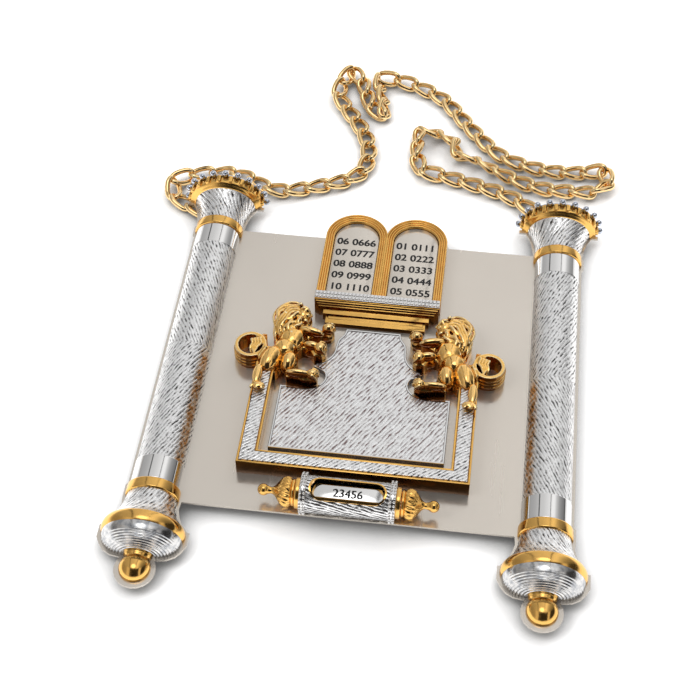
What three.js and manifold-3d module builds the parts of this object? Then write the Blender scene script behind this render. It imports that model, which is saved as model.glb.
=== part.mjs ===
// Breastplate for a torah scroll: a silver sheet between two half-round scroll staves, with gilt lions,
// two tablets on a stepped cornice, a raised frame, a turning name bar in its holder, and a loose chain.
// Millimetres. +X to the right, +Y to the top of the shield, +Z out of its face.
import * as THREE from 'three';
import { mergeVertices } from 'three/addons/utils/BufferGeometryUtils.js';
import Module from 'manifold-3d';

const wasm = await Module();
wasm.setup();

// General sizes
const clearance = 0.3;
const overrun = 4;
const weldDistance = 0.0001;

// Facets of round forms
const roundSides = 28;
const tubeSides = 32;
const neckSides = 20;
const capSides = 20;
const boreSides = 12;
const axleSides = 16;
const curveSteps = 4;

// Sheet
const sheetThickness = 1.2;
const sheetReach = 92.5;
const sheetMargin = 1.2;
const ballMargin = 2.5;
const crownSheetRise = 2;

// Scroll staves, half round: the radius is across the stave, its height over the sheet is a share of it
const staveSpacing = 190;
const staveRiseShare = 0.86;
const shaftRadius = 12.3;
const shaftReach = 86.7;
const polishedBand = 13.7;
const bandStep = 0.35;
const collarSwell = 1;
const collarLength = 6;
const collarRound = 0.8;

// Crown on top of each stave
const flareLength = 17.3;
const flareMouthRadius = 17.3;
const flareWaistShare = 0.34;
const rimLength = 6.5;
const rimSwell = 3.5;
const rimCove = 1.6;
const rimLipWall = 1.4;
const rimRecess = 1;
const lugReach = 1.8;
const lugWidth = 3;
const beadRadius = 1.75;
const beadReach = 2.1;
const beadCount = 11;
const beadArc = Math.PI;
const beadStripThickness = 0.9;
const beadStripWidth = 2.5;

// Foot of each stave: bell, band, dish and finial
const bellLength = 16.8;
const bellMouthRadius = 19.6;
const bellWaistShare = 0.3;
const bandLength = 6;
const bandSwell = 1;
const bandRound = 1.5;
const dishLength = 9.5;
const dishNeckRadius = 8;
const neckStep = 0.8;
const neckLength = 5.4;
const ballRadius = 7.5;
const ballDrop = 1.6;

// Name-plate holder near the foot of the sheet
const holderInset = 6.7;
const barrelRadius = 9.1;
const barrelWall = 1;
const barrelFootGap = 5;
const barrelHalfLength = 19.8;
const ringWidth = 3.3;
const ringSwell = 0.7;
const capThickness = 2.2;
const capStep = 1.3;
const capLift = 0.4;
const windowMargin = 2;
const windowWidth = 10;
const windowTilt = THREE.MathUtils.degToRad(12);
const bezelWall = 0.8;
const bezelRise = 0.8;
const bezelDepth = 1.3;

// Turning parts of the holder: the knob's profile is given along its length and across its radius
const drumGap = 1.3;
const drumClearance = 0.2;
const drumSides = 6;
const axleRadius = 1.5;
const axleGrip = 5;
const knobLift = 0.7;
const knobLength = 18.3;
const knobBallRadius = 2.9;
const knobShares = [
  [0, 0.84], [0.07, 0.86], [0.1, 0.88], [0.19, 1], [0.31, 0.95], [0.4, 0.77], [0.48, 0.5],
  [0.55, 0.3], [0.63, 0.21],
];
const ribStartShare = 0.1;
const ribEndShare = 0.5;
const ribDepth = 0.45;
const ribTwist = THREE.MathUtils.degToRad(45);

// Raised frame, open at the top
const holderGap = 4.2;
const frameHalfWidth = 57.2;
const frameTall = 63.8;
const frameArmWidth = 9.7;
const frameFootWidth = 8.3;
const frameHeight = 9.35;
const frameLine = 1.1;
const borderThickness = 1;
const borderRise = 0.35;

// Centre panel with cut-outs round the paws
const panelFootGap = 6.5;
const panelSideGap = 3.7;
const panelTall = 81;
const panelHeight = 3.4;
const panelRound = 0.5;
const panelRim = 0.9;
const panelSink = 0.35;
const panelEdgeShares = [
  [1, 0], [1, 0.495], [0.73, 0.484], [0.62, 0.505], [0.53, 0.533], [0.49, 0.58],
  [0.495, 0.63], [0.55, 0.652], [0.7, 0.678], [0.68, 0.692], [0.57, 0.702], [0.5, 0.731],
  [0.435, 0.791], [0.415, 0.857], [0.415, 0.9], [0.355, 0.955], [0.33, 1],
];

// Cornice over the panel: each step's depth, height and width
const panelGap = 3.6;
const corniceDepth = 14.7;
const corniceInset = 0.4;
const corniceHeight = 11;
const corniceStepShares = [
  [0.37, 1, 1],
  [0.42, 0.92, 0.98],
  [0.45, 0.8, 0.955],
  [0.49, 0.68, 0.93],
  [0.69, 0.46, 0.85],
  [0.81, 0.3, 0.76],
  [1, 0.27, 0.8],
];
const beadingWidth = 5;
const beadingThickness = 0.8;
const beadingRib = 0.7;

// Tablets on the cornice
const lionSpace = 23.5;
const tabletsHeight = 8;
const tabletsRound = 1.4;
const archOverlap = 0.7;
const tabletStraight = 46;
const tabletBorder = 4.7;
const tabletReed = 1.2;
const tabletReedDrop = 1.2;
const tabletFoot = 1.6;
const tabletPanelHeight = 2.6;

// Lions: outline from the muzzle round by the forelegs, hind legs, rump and mane
const lionOver = 0.3;
const lionDrop = 20.5;
const lionWidth = 37.5;
const lionHeight = 62.2;
const lionStand = 1.2;
const lionRound = 0.9;
const lionOutlineShares = [
  [0.38, 0.916], [0.36, 0.876], [0.36, 0.82], [0.37, 0.764], [0.36, 0.732], [0.26, 0.741],
  [0.16, 0.749], [0.085, 0.788], [0.025, 0.786], [0, 0.757], [0.04, 0.712], [0.12, 0.7],
  [0.18, 0.677], [0.275, 0.658], [0.35, 0.638], [0.345, 0.587], [0.24, 0.56], [0.17, 0.568],
  [0.105, 0.58], [0.065, 0.555], [0.07, 0.494], [0.12, 0.465], [0.23, 0.463], [0.265, 0.497],
  [0.315, 0.532], [0.413, 0.523], [0.485, 0.461], [0.453, 0.423], [0.44, 0.36], [0.435, 0.268],
  [0.3, 0.259], [0.232, 0.291], [0.168, 0.291], [0.125, 0.259], [0.13, 0.22], [0.21, 0.201],
  [0.31, 0.201], [0.373, 0.207], [0.56, 0.217], [0.587, 0.305], [0.635, 0.33], [0.704, 0.268],
  [0.787, 0.198], [0.87, 0.18], [0.896, 0.121], [0.88, 0.06], [0.808, 0.019], [0.832, 0.002],
  [0.933, 0.002], [0.995, 0.037], [1, 0.137], [0.992, 0.265], [0.984, 0.378], [0.917, 0.477],
  [0.848, 0.527], [0.8, 0.542], [0.821, 0.603], [0.859, 0.683], [0.869, 0.78], [0.856, 0.86],
  [0.805, 0.94], [0.7, 0.995], [0.6, 0.998], [0.5, 0.968], [0.435, 0.924],
];
// Rounded masses on the slab: centre and half sizes across, up and out, as shares of width, height, slab
const lionMassShares = [
  [0.62, 0.81, 0.5, 0.235, 0.185, 0.75],
  [0.43, 0.845, 0.66, 0.1, 0.085, 0.6],
  [0.6, 0.6, 0.54, 0.2, 0.13, 0.62],
  [0.78, 0.38, 0.54, 0.18, 0.14, 0.64],
  [0.52, 0.34, 0.54, 0.11, 0.1, 0.58],
  [0.2, 0.715, 0.62, 0.19, 0.035, 0.53],
  [0.25, 0.53, 0.6, 0.14, 0.034, 0.5],
  [0.2, 0.245, 0.58, 0.08, 0.04, 0.5],
  [0.93, 0.16, 0.85, 0.07, 0.11, 0.28],
  [0.9, 0.05, 0.88, 0.1, 0.04, 0.24],
];
const tailRadius = 8.4;
const tailWall = 2;
const tailHeight = 10.5;
const tailCentreShares = [1.115, 0.492];
const tuftShares = [
  [0.92, 0.62], [0.93, 0.66], [0.985, 0.665], [1.04, 0.64],
  [1.09, 0.53], [1.09, 0.44], [1.05, 0.385], [0.97, 0.52],
];

// Studs with nuts behind the sheet
const studLength = 6;
const studRadius = 1.6;
const nutRadius = 3.4;
const nutHeight = 2.6;
const staveStudShare = 0.72;
const frameStudShare = 0.34;
const tabletStudShare = 0.5;

// Chain of twisted oval links, with its eyes behind the crowns
const linkLength = 16.6;
const linkWidth = 9;
const wireDiameter = 2.3;
const linkBite = 0.7;
const linkTwist = THREE.MathUtils.degToRad(85);
const linkSquareness = 0.5;
const linkSteps = 6;
const wireSides = 4;
const routeSteps = 60;
const turnStep = 0.01;
const eyeWire = 1.5;
const eyeSpan = 4.5;
const eyeFloorGap = 1.1;
const eyeBendShare = 0.7;
const eyeTension = 0.2;
const endLift = 0.8;

// Colours and finishes
const silver = { color: 0xc9ccd0, roughness: 0.18, metalness: 1 };
const chasedSilver = { color: 0xb9bcc2, roughness: 0.45, metalness: 1 };
const gilt = { color: 0xd9a441, roughness: 0.2, metalness: 1 };
const paleGilt = { color: 0xe1c07a, roughness: 0.25, metalness: 1 };

// Derived sizes and places along the staves
const collarRadius = shaftRadius + collarSwell;
const rimRadius = flareMouthRadius + rimSwell;
const beadRingRadius = rimRadius + beadReach;
const bandRadius = bellMouthRadius + bandSwell;
const neckRadius = dishNeckRadius - neckStep;
const crownStart = shaftReach + collarLength;
const flareEnd = crownStart + flareLength;
const rimEnd = flareEnd + rimLength;
const shieldTop = rimEnd + beadStripThickness / 2 + beadRadius;
const bellEnd = -(shaftReach + collarLength + bellLength);
const bandEnd = bellEnd - bandLength;
const dishEnd = bandEnd - dishLength;
const neckEnd = dishEnd - neckLength;
const ballCentre = neckEnd - ballDrop;
const shieldBottom = ballCentre - ballRadius - ballMargin;
const staveX = staveSpacing / 2;

// Derived sizes of the holder, from the barrel inwards and outwards
const drumRadius = barrelRadius - barrelWall - drumGap;
const ringBore = drumRadius + drumClearance;
const ringRadius = barrelRadius + ringSwell;
const capRadius = barrelRadius - capStep;
const holderAxisHeight = capRadius + capLift;
const knobRadius = holderAxisHeight - knobLift;
const windowLength = 2 * (barrelHalfLength - windowMargin);
const bezelLength = windowLength + 2 * bezelWall;
const bezelWidth = windowWidth + 2 * bezelWall;
const capStart = barrelHalfLength + ringWidth;
const capEnd = capStart + capThickness;

// Derived places up the sheet: holder, frame, panel, cornice, tablets, then the lions at their sides
const holderY = holderInset - sheetReach;
const frameBottom = holderY + ringRadius + holderGap;
const frameArmTop = frameBottom + frameTall;
const panelBottom = frameBottom + frameFootWidth + panelFootGap;
const panelTop = panelBottom + panelTall;
const panelHalfWidth = frameHalfWidth - frameArmWidth - panelSideGap;
const corniceTop = panelTop + panelGap + corniceDepth;
const tabletsHalfWidth = frameHalfWidth - lionSpace;
const corniceHalfWidth = tabletsHalfWidth - corniceInset;
const tabletArchRadius = (tabletsHalfWidth + archOverlap) / 2;
const tabletSpring = corniceTop + tabletStraight;
const lionInner = frameHalfWidth + lionOver - lionWidth;
const lionBottom = frameArmTop - lionDrop;
const lionSlab = frameHeight + borderRise + clearance + lionStand;
const tableHeight = -(sheetThickness + studLength);
const eyeDrop = studLength - eyeFloorGap;

const shield = new THREE.Group();
shield.position.set(0, -(shieldTop + shieldBottom) / 2, -tableHeight);
shield.updateMatrixWorld(true);

// Turns a geometry into a solid that can be joined and cut.
function solid(geometry) {
  const bare = geometry.clone();
  bare.deleteAttribute('normal');
  bare.deleteAttribute('uv');
  const merged = mergeVertices(bare, weldDistance);
  const corners = merged.index.array;
  const triangles = [];
  for (let i = 0; i < corners.length; i += 3) {
    const [a, b, c] = corners.slice(i, i + 3);
    if (a !== b && b !== c && c !== a) triangles.push(a, b, c);
  }
  return new wasm.Manifold(
    new wasm.Mesh({
      numProp: 3,
      vertProperties: merged.attributes.position.array,
      triVerts: new Uint32Array(triangles),
    }),
  );
}

function addPiece(name, body, finish) {
  const mesh = body.getMesh();
  const geometry = new THREE.BufferGeometry();
  geometry.setAttribute('position', new THREE.BufferAttribute(mesh.vertProperties, 3));
  geometry.setIndex(new THREE.BufferAttribute(mesh.triVerts, 1));
  geometry.computeVertexNormals();
  const piece = new THREE.Mesh(geometry, new THREE.MeshStandardMaterial(finish));
  piece.name = name;
  shield.add(piece);
}

function joined(solids) {
  return solids.reduce((whole, next) => whole.add(next));
}

// Fills the pockets that crossing wires close in between them.
function filled(body) {
  return joined(body.decompose().filter((part) => part.volume() > 0));
}

function block(x0, x1, y0, y1, z0, z1) {
  const geometry = new THREE.BoxGeometry(x1 - x0, y1 - y0, z1 - z0);
  return solid(geometry.translate((x0 + x1) / 2, (y0 + y1) / 2, (z0 + z1) / 2));
}

function slab(shape, z0, z1) {
  const geometry = new THREE.ExtrudeGeometry(shape, {
    depth: z1 - z0,
    bevelEnabled: false,
    curveSegments: 9,
  });
  return solid(geometry.translate(0, 0, z0));
}

// A slab whose outline is drawn in by an even inset.
function insetSlab(shape, inset, z0, z1) {
  const geometry = new THREE.ExtrudeGeometry(shape, {
    depth: z1 - z0,
    bevelThickness: 0,
    bevelSize: 0,
    bevelOffset: -inset,
    bevelSegments: 0,
  });
  return solid(geometry.translate(0, 0, z0));
}

// A slab whose upper edge is rounded inwards.
function roundedSlab(shape, height, round) {
  const geometry = new THREE.ExtrudeGeometry(shape, {
    depth: height - round,
    bevelThickness: round,
    bevelSize: round,
    bevelOffset: -round,
    bevelSegments: 1,
    curveSegments: 10,
  });
  return solid(geometry).intersect(aboveSheet);
}

function outline(points) {
  return new THREE.Shape(points.map(([x, y]) => new THREE.Vector2(x, y)));
}

const farSize = staveSpacing;
const aboveSheet = block(-farSize, farSize, -farSize, farSize, 0, farSize);

// Half-round body on the sheet, turned about the stave's own axis and flattened by staveRiseShare.
function halfRound(profile, sides = roundSides) {
  const points = profile.map(([radius, y]) => new THREE.Vector2(radius, y));
  const turned = new THREE.LatheGeometry(points, sides).scale(1, 1, staveRiseShare);
  return solid(turned).intersect(aboveSheet);
}

// Concave curve of a flare: the radius grows slowly at first and fastest at the mouth.
function flareProfile(startRadius, mouthRadius, startY, endY, waistShare) {
  const points = [];
  for (let i = 0; i <= curveSteps; i++) {
    const along = i / curveSteps;
    const grown = waistShare * along + (1 - waistShare) * along ** 3;
    points.push([startRadius + (mouthRadius - startRadius) * grown, startY + (endY - startY) * along]);
  }
  return points;
}

function closeToAxis(points) {
  return [[0, points[0][1]], ...points, [0, points.at(-1)[1]]];
}

const upward = (points) => (points[0][1] < points.at(-1)[1] ? points : [...points].reverse());

// Profiles of the stave's pieces, from the foot to the crown
const flareCurve = flareProfile(shaftRadius, flareMouthRadius, crownStart, flareEnd, flareWaistShare);
const bellCurve = flareProfile(shaftRadius, bellMouthRadius, -crownStart, bellEnd, bellWaistShare);
const dishCurve = [];
for (let i = 0; i <= curveSteps; i++) {
  const turn = (i / curveSteps) * (Math.PI / 2);
  dishCurve.push([
    dishNeckRadius + (bellMouthRadius - dishNeckRadius) * Math.cos(turn),
    bandEnd - dishLength * Math.sin(turn),
  ]);
}
const shaftCurve = [
  [shaftRadius, -shaftReach],
  [shaftRadius, -shaftReach + polishedBand],
  [shaftRadius - bandStep, -shaftReach + polishedBand + bandStep],
  [shaftRadius - bandStep, shaftReach - polishedBand - bandStep],
  [shaftRadius, shaftReach - polishedBand],
  [shaftRadius, shaftReach],
];

function collarCurve(start) {
  return [
    [collarRadius - collarRound, start],
    [collarRadius, start + collarRound],
    [collarRadius, start + collarLength - collarRound],
    [collarRadius - collarRound, start + collarLength],
  ];
}

function crownRim() {
  const body = halfRound([
    [0, flareEnd],
    [flareMouthRadius, flareEnd],
    [flareMouthRadius + rimCove / 2, flareEnd + rimCove / 2],
    [rimRadius, flareEnd + rimCove],
    [rimRadius, rimEnd],
    [rimRadius - rimLipWall - beadStripWidth, rimEnd],
    [rimRadius - rimLipWall - beadStripWidth - rimRecess, rimEnd - rimRecess],
    [0, rimEnd - rimRecess],
  ]);
  const lugs = [];
  for (let i = 0; i < beadCount - 1; i++) {
    const angle = beadAngle(i + 0.5);
    const lug = new THREE.BoxGeometry(lugReach + rimLipWall, rimLength - rimCove, lugWidth);
    lug.translate(rimRadius + (lugReach - rimLipWall) / 2, (flareEnd + rimCove + rimEnd) / 2, 0);
    lugs.push(solid(onEllipse(lug, angle, rimRadius)));
  }
  return joined([body, ...lugs]).intersect(aboveSheet);
}

// Angle of a place on the bead ring, counted in beads from the right, symmetric about straight up.
function beadAngle(index) {
  return (Math.PI - beadArc) / 2 + (beadArc * index) / (beadCount - 1);
}

// Turns a piece made at +X of the stave's axis to an angle, and seats it on the flattened round.
function onEllipse(geometry, angle, radius) {
  geometry.rotateY(-angle);
  return geometry.translate(0, 0, (staveRiseShare - 1) * radius * Math.sin(angle));
}

function crownBeads() {
  const y = rimEnd + beadStripThickness / 2;
  const outer = beadRingRadius - beadRadius + rimLipWall / 2;
  const strip = halfRound([
    [rimRadius - rimLipWall - beadStripWidth, rimEnd],
    [outer, rimEnd],
    [outer, rimEnd + beadStripThickness],
    [rimRadius - rimLipWall - beadStripWidth, rimEnd + beadStripThickness],
    [rimRadius - rimLipWall - beadStripWidth, rimEnd],
  ]);
  const beads = [];
  for (let i = 0; i < beadCount; i++) {
    const angle = beadAngle(i);
    const bead = new THREE.SphereGeometry(beadRadius, 6, 4);
    const rise = beadRingRadius * staveRiseShare;
    bead.translate(beadRingRadius * Math.cos(angle), y, rise * Math.sin(angle));
    beads.push(solid(bead));
  }
  return joined([strip, ...beads]);
}

function finial() {
  const neckCurve = [[neckRadius, neckEnd - overrun / 2], [neckRadius, dishEnd]];
  const neck = halfRound(closeToAxis(neckCurve), neckSides);
  const ball = new THREE.SphereGeometry(ballRadius, 18, 9).rotateX(Math.PI / 2);
  ball.translate(0, ballCentre, 0);
  const underDish = block(-bandRadius, bandRadius, dishEnd, dishEnd + overrun, 0, bandRadius);
  return neck.add(solid(ball).intersect(aboveSheet).subtract(underDish));
}

function staveParts() {
  return [
    ['stave_shaft', halfRound(closeToAxis(shaftCurve)), chasedSilver],
    ['upper_collar', halfRound(closeToAxis(collarCurve(shaftReach))), gilt],
    ['lower_collar', halfRound(closeToAxis(collarCurve(-crownStart))), gilt],
    ['crown_flare', halfRound(closeToAxis(upward(flareCurve))), chasedSilver],
    ['crown_rim', crownRim(), gilt],
    ['crown_beads', crownBeads(), silver],
    ['bell', halfRound(closeToAxis(upward(bellCurve))), chasedSilver],
    [
      'bell_band',
      halfRound(
        closeToAxis([
          [bellMouthRadius, bandEnd],
          [bandRadius, bandEnd + bandRound],
          [bandRadius, bellEnd - bandRound],
          [bellMouthRadius, bellEnd],
        ]),
      ),
      gilt,
    ],
    ['dish', halfRound(closeToAxis(upward(dishCurve))), chasedSilver],
    ['finial', finial(), gilt],
  ];
}

// Outline of the sheet behind one stave: the stave's silhouette with a margin.
function staveBacking(centreX) {
  const crown = flareCurve.map(([radius, y]) => [radius + sheetMargin, y]);
  const bell = bellCurve.map(([radius, y]) => [radius + sheetMargin, y]);
  const dish = dishCurve.map(([radius, y]) => [radius + sheetMargin, y - sheetMargin]);
  const right = [
    [rimRadius + sheetMargin, flareEnd + crownSheetRise],
    [rimRadius + sheetMargin, flareEnd],
    ...[...crown].reverse(),
    [collarRadius + sheetMargin, crownStart],
    [collarRadius + sheetMargin, shaftReach - sheetMargin],
    [shaftRadius + sheetMargin, shaftReach - 2 * sheetMargin],
    [shaftRadius + sheetMargin, -shaftReach + 2 * sheetMargin],
    [collarRadius + sheetMargin, -shaftReach + sheetMargin],
    [collarRadius + sheetMargin, -crownStart],
    ...bell.slice(1),
    [bandRadius + sheetMargin, bellEnd],
    [bandRadius + sheetMargin, bandEnd - sheetMargin],
    ...dish.slice(1),
    [neckRadius + sheetMargin, dishEnd - sheetMargin],
    [neckRadius + sheetMargin, ballCentre],
  ];
  const left = [...right].reverse().map(([x, y]) => [-x, y]);
  const backing = slab(outline([...right, ...left]), -sheetThickness, 0);
  const ballReach = ballRadius + ballMargin;
  const disc = new THREE.CylinderGeometry(ballReach, ballReach, sheetThickness, neckSides);
  disc.rotateX(Math.PI / 2).translate(0, ballCentre, -sheetThickness / 2);
  return backing.add(solid(disc)).translate(centreX, 0, 0);
}

// The two arches side by side, grown by a margin.
function tabletsOutline(bottom, margin) {
  const centre = tabletsHalfWidth - tabletArchRadius;
  const radius = tabletArchRadius + margin;
  const valley = Math.acos(centre / radius);
  const shape = new THREE.Shape();
  shape.moveTo(-centre - radius, bottom);
  shape.lineTo(centre + radius, bottom);
  shape.lineTo(centre + radius, tabletSpring);
  shape.absarc(centre, tabletSpring, radius, 0, Math.PI - valley, false);
  shape.absarc(-centre, tabletSpring, radius, valley, Math.PI, false);
  return shape;
}

function tabletPanelOutline(side, inset) {
  const centre = (tabletsHalfWidth - tabletArchRadius) * side;
  const radius = tabletArchRadius - tabletBorder - inset;
  const bottom = corniceTop + clearance + tabletFoot + inset;
  const shape = new THREE.Shape();
  shape.moveTo(centre - radius, bottom);
  shape.lineTo(centre + radius, bottom);
  shape.lineTo(centre + radius, tabletSpring);
  shape.absarc(centre, tabletSpring, radius, 0, Math.PI, false);
  return shape;
}

function backPlate() {
  const sheet = block(-staveX, staveX, -sheetReach, sheetReach, -sheetThickness, 0);
  const arches = slab(tabletsOutline(corniceTop, sheetMargin), -sheetThickness, 0);
  return joined([sheet, arches, staveBacking(-staveX), staveBacking(staveX)]);
}

function tabletsFrame() {
  const frame = roundedSlab(tabletsOutline(corniceTop + clearance, 0), tabletsHeight, tabletsRound);
  const top = tabletsHeight + overrun;
  const holes = [-1, 1].map((side) => slab(tabletPanelOutline(side, 0), -overrun, top));
  const reedFloor = tabletsHeight - tabletReedDrop;
  const reeds = [-1, 1].map((side) => slab(tabletPanelOutline(side, -tabletReed), reedFloor, top));
  return frame.subtract(joined([...holes, ...reeds]));
}

// The cornice's steps, or the room that they need when they are grown by a clearance.
function cornice(grown = 0) {
  const steps = corniceStepShares.map(([depth, height, width]) =>
    block(
      -corniceHalfWidth * width - grown,
      corniceHalfWidth * width + grown,
      corniceTop - corniceDepth * depth - grown,
      corniceTop,
      0,
      corniceHeight * height + grown,
    ),
  );
  return joined(steps);
}

function corniceBeading() {
  const bottom = corniceTop - beadingWidth;
  const top = corniceHeight + beadingThickness;
  const reach = corniceHalfWidth;
  const strip = block(-reach, reach, bottom, corniceTop, corniceHeight, top);
  const ribs = [0, 1].map((row) => {
    const y0 = bottom + (row * beadingWidth) / 2 + beadingRib / 2;
    const y1 = y0 + beadingWidth / 2 - beadingRib;
    return block(-reach, reach, y0, y1, corniceHeight, top + beadingRib);
  });
  return joined([strip, ...ribs]);
}

function frameShape(inset) {
  return outline([
    [-frameHalfWidth + inset, frameArmTop],
    [-frameHalfWidth + inset, frameBottom + inset],
    [frameHalfWidth - inset, frameBottom + inset],
    [frameHalfWidth - inset, frameArmTop],
    [frameHalfWidth - frameArmWidth + inset, frameArmTop],
    [frameHalfWidth - frameArmWidth + inset, frameBottom + frameFootWidth - inset],
    [-frameHalfWidth + frameArmWidth - inset, frameBottom + frameFootWidth - inset],
    [-frameHalfWidth + frameArmWidth - inset, frameArmTop],
  ]);
}

function frameTray() {
  const channel = slab(frameShape(frameLine), frameHeight - borderThickness, frameHeight + overrun);
  return slab(frameShape(0), 0, frameHeight).subtract(channel);
}

function frameBorder() {
  return slab(frameShape(frameLine + clearance), frameHeight - borderThickness, frameHeight + borderRise);
}

// Outline of the centre panel, with its sides moved out by a margin.
function panelOutline(margin) {
  const right = panelEdgeShares.map(([across, up]) => [
    panelHalfWidth * across + margin,
    panelBottom + panelTall * up,
  ]);
  const left = [...right].reverse().map(([x, y]) => [-x, y]);
  return outline([...right, ...left]);
}

function centrePanel() {
  const field = insetSlab(panelOutline(0), panelRim, panelHeight - panelSink, panelHeight + overrun);
  return roundedSlab(panelOutline(0), panelHeight, panelRound).subtract(field);
}

// Right-hand lion, cut clear of the frame and the panel that it stands over.
function lion() {
  const place = ([across, up]) => [lionInner + lionWidth * across, lionBottom + lionHeight * up];
  const body = roundedSlab(outline(lionOutlineShares.map(place)), lionSlab, lionRound);
  const masses = lionMassShares.map(([across, up, out, halfWidth, halfHeight, halfOut]) => {
    const mass = new THREE.SphereGeometry(1, 8, 5).rotateX(Math.PI / 2);
    mass.scale(lionWidth * halfWidth, lionHeight * halfHeight, lionSlab * halfOut);
    const [x, y] = place([across, up]);
    return solid(mass.translate(x, y, lionSlab * out)).intersect(aboveSheet);
  });
  const [tailX, tailY] = place(tailCentreShares);
  const ring = new THREE.Shape().absarc(tailX, tailY, tailRadius, 0, 2 * Math.PI, false);
  ring.holes.push(new THREE.Path().absarc(tailX, tailY, tailRadius - tailWall, 0, 2 * Math.PI, true));
  const tail = slab(ring, 0, tailHeight);
  const tuft = slab(outline(tuftShares.map(place)), 0, tailHeight - clearance);
  const around = frameHeight + borderRise + clearance;
  const arm = block(
    frameHalfWidth - frameArmWidth - clearance,
    frameHalfWidth + clearance,
    frameBottom,
    frameArmTop + clearance,
    -overrun,
    around,
  );
  const panel = slab(panelOutline(clearance + panelRound), -overrun, panelHeight + clearance);
  return joined([body, ...masses, tail, tuft]).subtract(joined([arm, panel, cornice(clearance)]));
}

// A cylinder along X round the holder's axis, turned about it by an angle.
function holderRound(radius, x0, x1, sides, turn = 0) {
  const geometry = new THREE.CylinderGeometry(radius, radius, x1 - x0, sides);
  geometry.rotateZ(Math.PI / 2).rotateX(turn);
  return solid(geometry.translate((x0 + x1) / 2, holderY, holderAxisHeight));
}

function stadium(length, width) {
  const straight = (length - width) / 2;
  const shape = new THREE.Shape();
  shape.absarc(straight, 0, width / 2, -Math.PI / 2, Math.PI / 2, false);
  shape.absarc(-straight, 0, width / 2, Math.PI / 2, (3 * Math.PI) / 2, false);
  return shape;
}

// A stadium-shaped plug through the holder's wall at the window's tilt.
function windowPlug(length, width, innerRadius, outerRadius) {
  const geometry = new THREE.ExtrudeGeometry(stadium(length, width), {
    depth: outerRadius - innerRadius,
    bevelEnabled: false,
    curveSegments: 5,
  });
  geometry.translate(0, 0, innerRadius).rotateX(windowTilt);
  return solid(geometry.translate(0, holderY, holderAxisHeight));
}

function holderBarrel() {
  const end = barrelHalfLength + overrun;
  const tube = holderRound(barrelRadius, -barrelHalfLength, barrelHalfLength, tubeSides);
  const bore = holderRound(barrelRadius - barrelWall, -end, end, tubeSides);
  const footGap = block(
    -end,
    end,
    holderY - barrelFootGap / 2,
    holderY + barrelFootGap / 2,
    -overrun,
    holderAxisHeight,
  );
  const play = 2 * clearance;
  const opening = windowPlug(bezelLength + play, bezelWidth + play, axleRadius, ringRadius + overrun);
  return tube.intersect(aboveSheet).subtract(bore).subtract(footGap).subtract(opening);
}

function windowBezel() {
  const end = barrelHalfLength + overrun;
  const outside = holderRound(barrelRadius + bezelRise, -barrelHalfLength, barrelHalfLength, tubeSides);
  const inside = holderRound(barrelRadius - bezelDepth, -end, end, tubeSides);
  const ring = windowPlug(bezelLength, bezelWidth, axleRadius, ringRadius + overrun).subtract(
    windowPlug(windowLength, windowWidth, 0, ringRadius + 2 * overrun),
  );
  return outside.subtract(inside).intersect(ring);
}

function holderRing(side) {
  const x0 = side > 0 ? barrelHalfLength : -barrelHalfLength - ringWidth;
  const ring = holderRound(ringRadius, x0, x0 + ringWidth, roundSides).intersect(aboveSheet);
  return ring.subtract(holderRound(ringBore, x0 - overrun, x0 + ringWidth + overrun, capSides));
}

function holderCap(side) {
  const x0 = side > 0 ? capStart : -capEnd;
  const cap = holderRound(capRadius, x0, x0 + capThickness, capSides);
  const end = x0 + capThickness + overrun;
  return cap.subtract(holderRound(axleRadius + clearance, x0 - overrun, end, boreSides));
}

// The name bar shows one of its flat sides square to the window.
function nameDrum() {
  const halfLength = capStart - clearance;
  const end = halfLength + overrun;
  const bar = holderRound(drumRadius, -halfLength, halfLength, drumSides, windowTilt + Math.PI / drumSides);
  return bar.subtract(holderRound(axleRadius + clearance, -end, end, boreSides));
}

function drumAxle() {
  const end = capEnd + clearance + axleGrip;
  return holderRound(axleRadius, -end, end, axleSides);
}

// Pushes every second column of a turned knob in, and winds the columns round it, for its slanting ribs.
function addRibs(turned, rows) {
  const places = turned.attributes.position;
  for (let i = 0; i < places.count; i++) {
    const along = places.getY(i) / knobLength;
    const wound = THREE.MathUtils.clamp((along - ribStartShare) / (ribEndShare - ribStartShare), 0, 1);
    const ribbed = wound > 0 && wound < 1 && Math.floor(i / rows) % 2 === 1;
    const place = new THREE.Vector3().fromBufferAttribute(places, i);
    const reach = Math.hypot(place.x, place.z);
    if (ribbed) place.multiply(new THREE.Vector3(1 - ribDepth / reach, 1, 1 - ribDepth / reach));
    place.applyAxisAngle(new THREE.Vector3(0, 1, 0), ribTwist * wound);
    places.setXYZ(i, place.x, place.y, place.z);
  }
  return turned;
}

// Turned knob: a flange, a ribbed bulb, a narrow neck and a ball, bored for the axle.
function knob(side) {
  const start = capEnd + clearance;
  const ballMiddle = knobLength - knobBallRadius;
  const profile = knobShares.map(([along, across]) => [knobRadius * across, knobLength * along]);
  const neck = Math.asin(profile.at(-1)[0] / knobBallRadius);
  for (let i = 1; i <= curveSteps; i++) {
    const turn = neck + ((Math.PI - neck) * i) / curveSteps;
    profile.push([knobBallRadius * Math.sin(turn), ballMiddle - knobBallRadius * Math.cos(turn)]);
  }
  profile.at(-1)[0] = 0;
  profile.unshift([0, 0]);
  const points = profile.map(([radius, y]) => new THREE.Vector2(radius, y));
  const turned = addRibs(new THREE.LatheGeometry(points, capSides), points.length);
  turned.translate(0, start, 0).rotateZ((-side * Math.PI) / 2);
  const body = solid(turned.translate(0, holderY, holderAxisHeight));
  const bore = axleGrip + 2 * clearance;
  const x0 = side > 0 ? start - overrun : -start - bore;
  return body.subtract(holderRound(axleRadius + clearance, x0, x0 + bore + overrun, boreSides));
}

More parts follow.
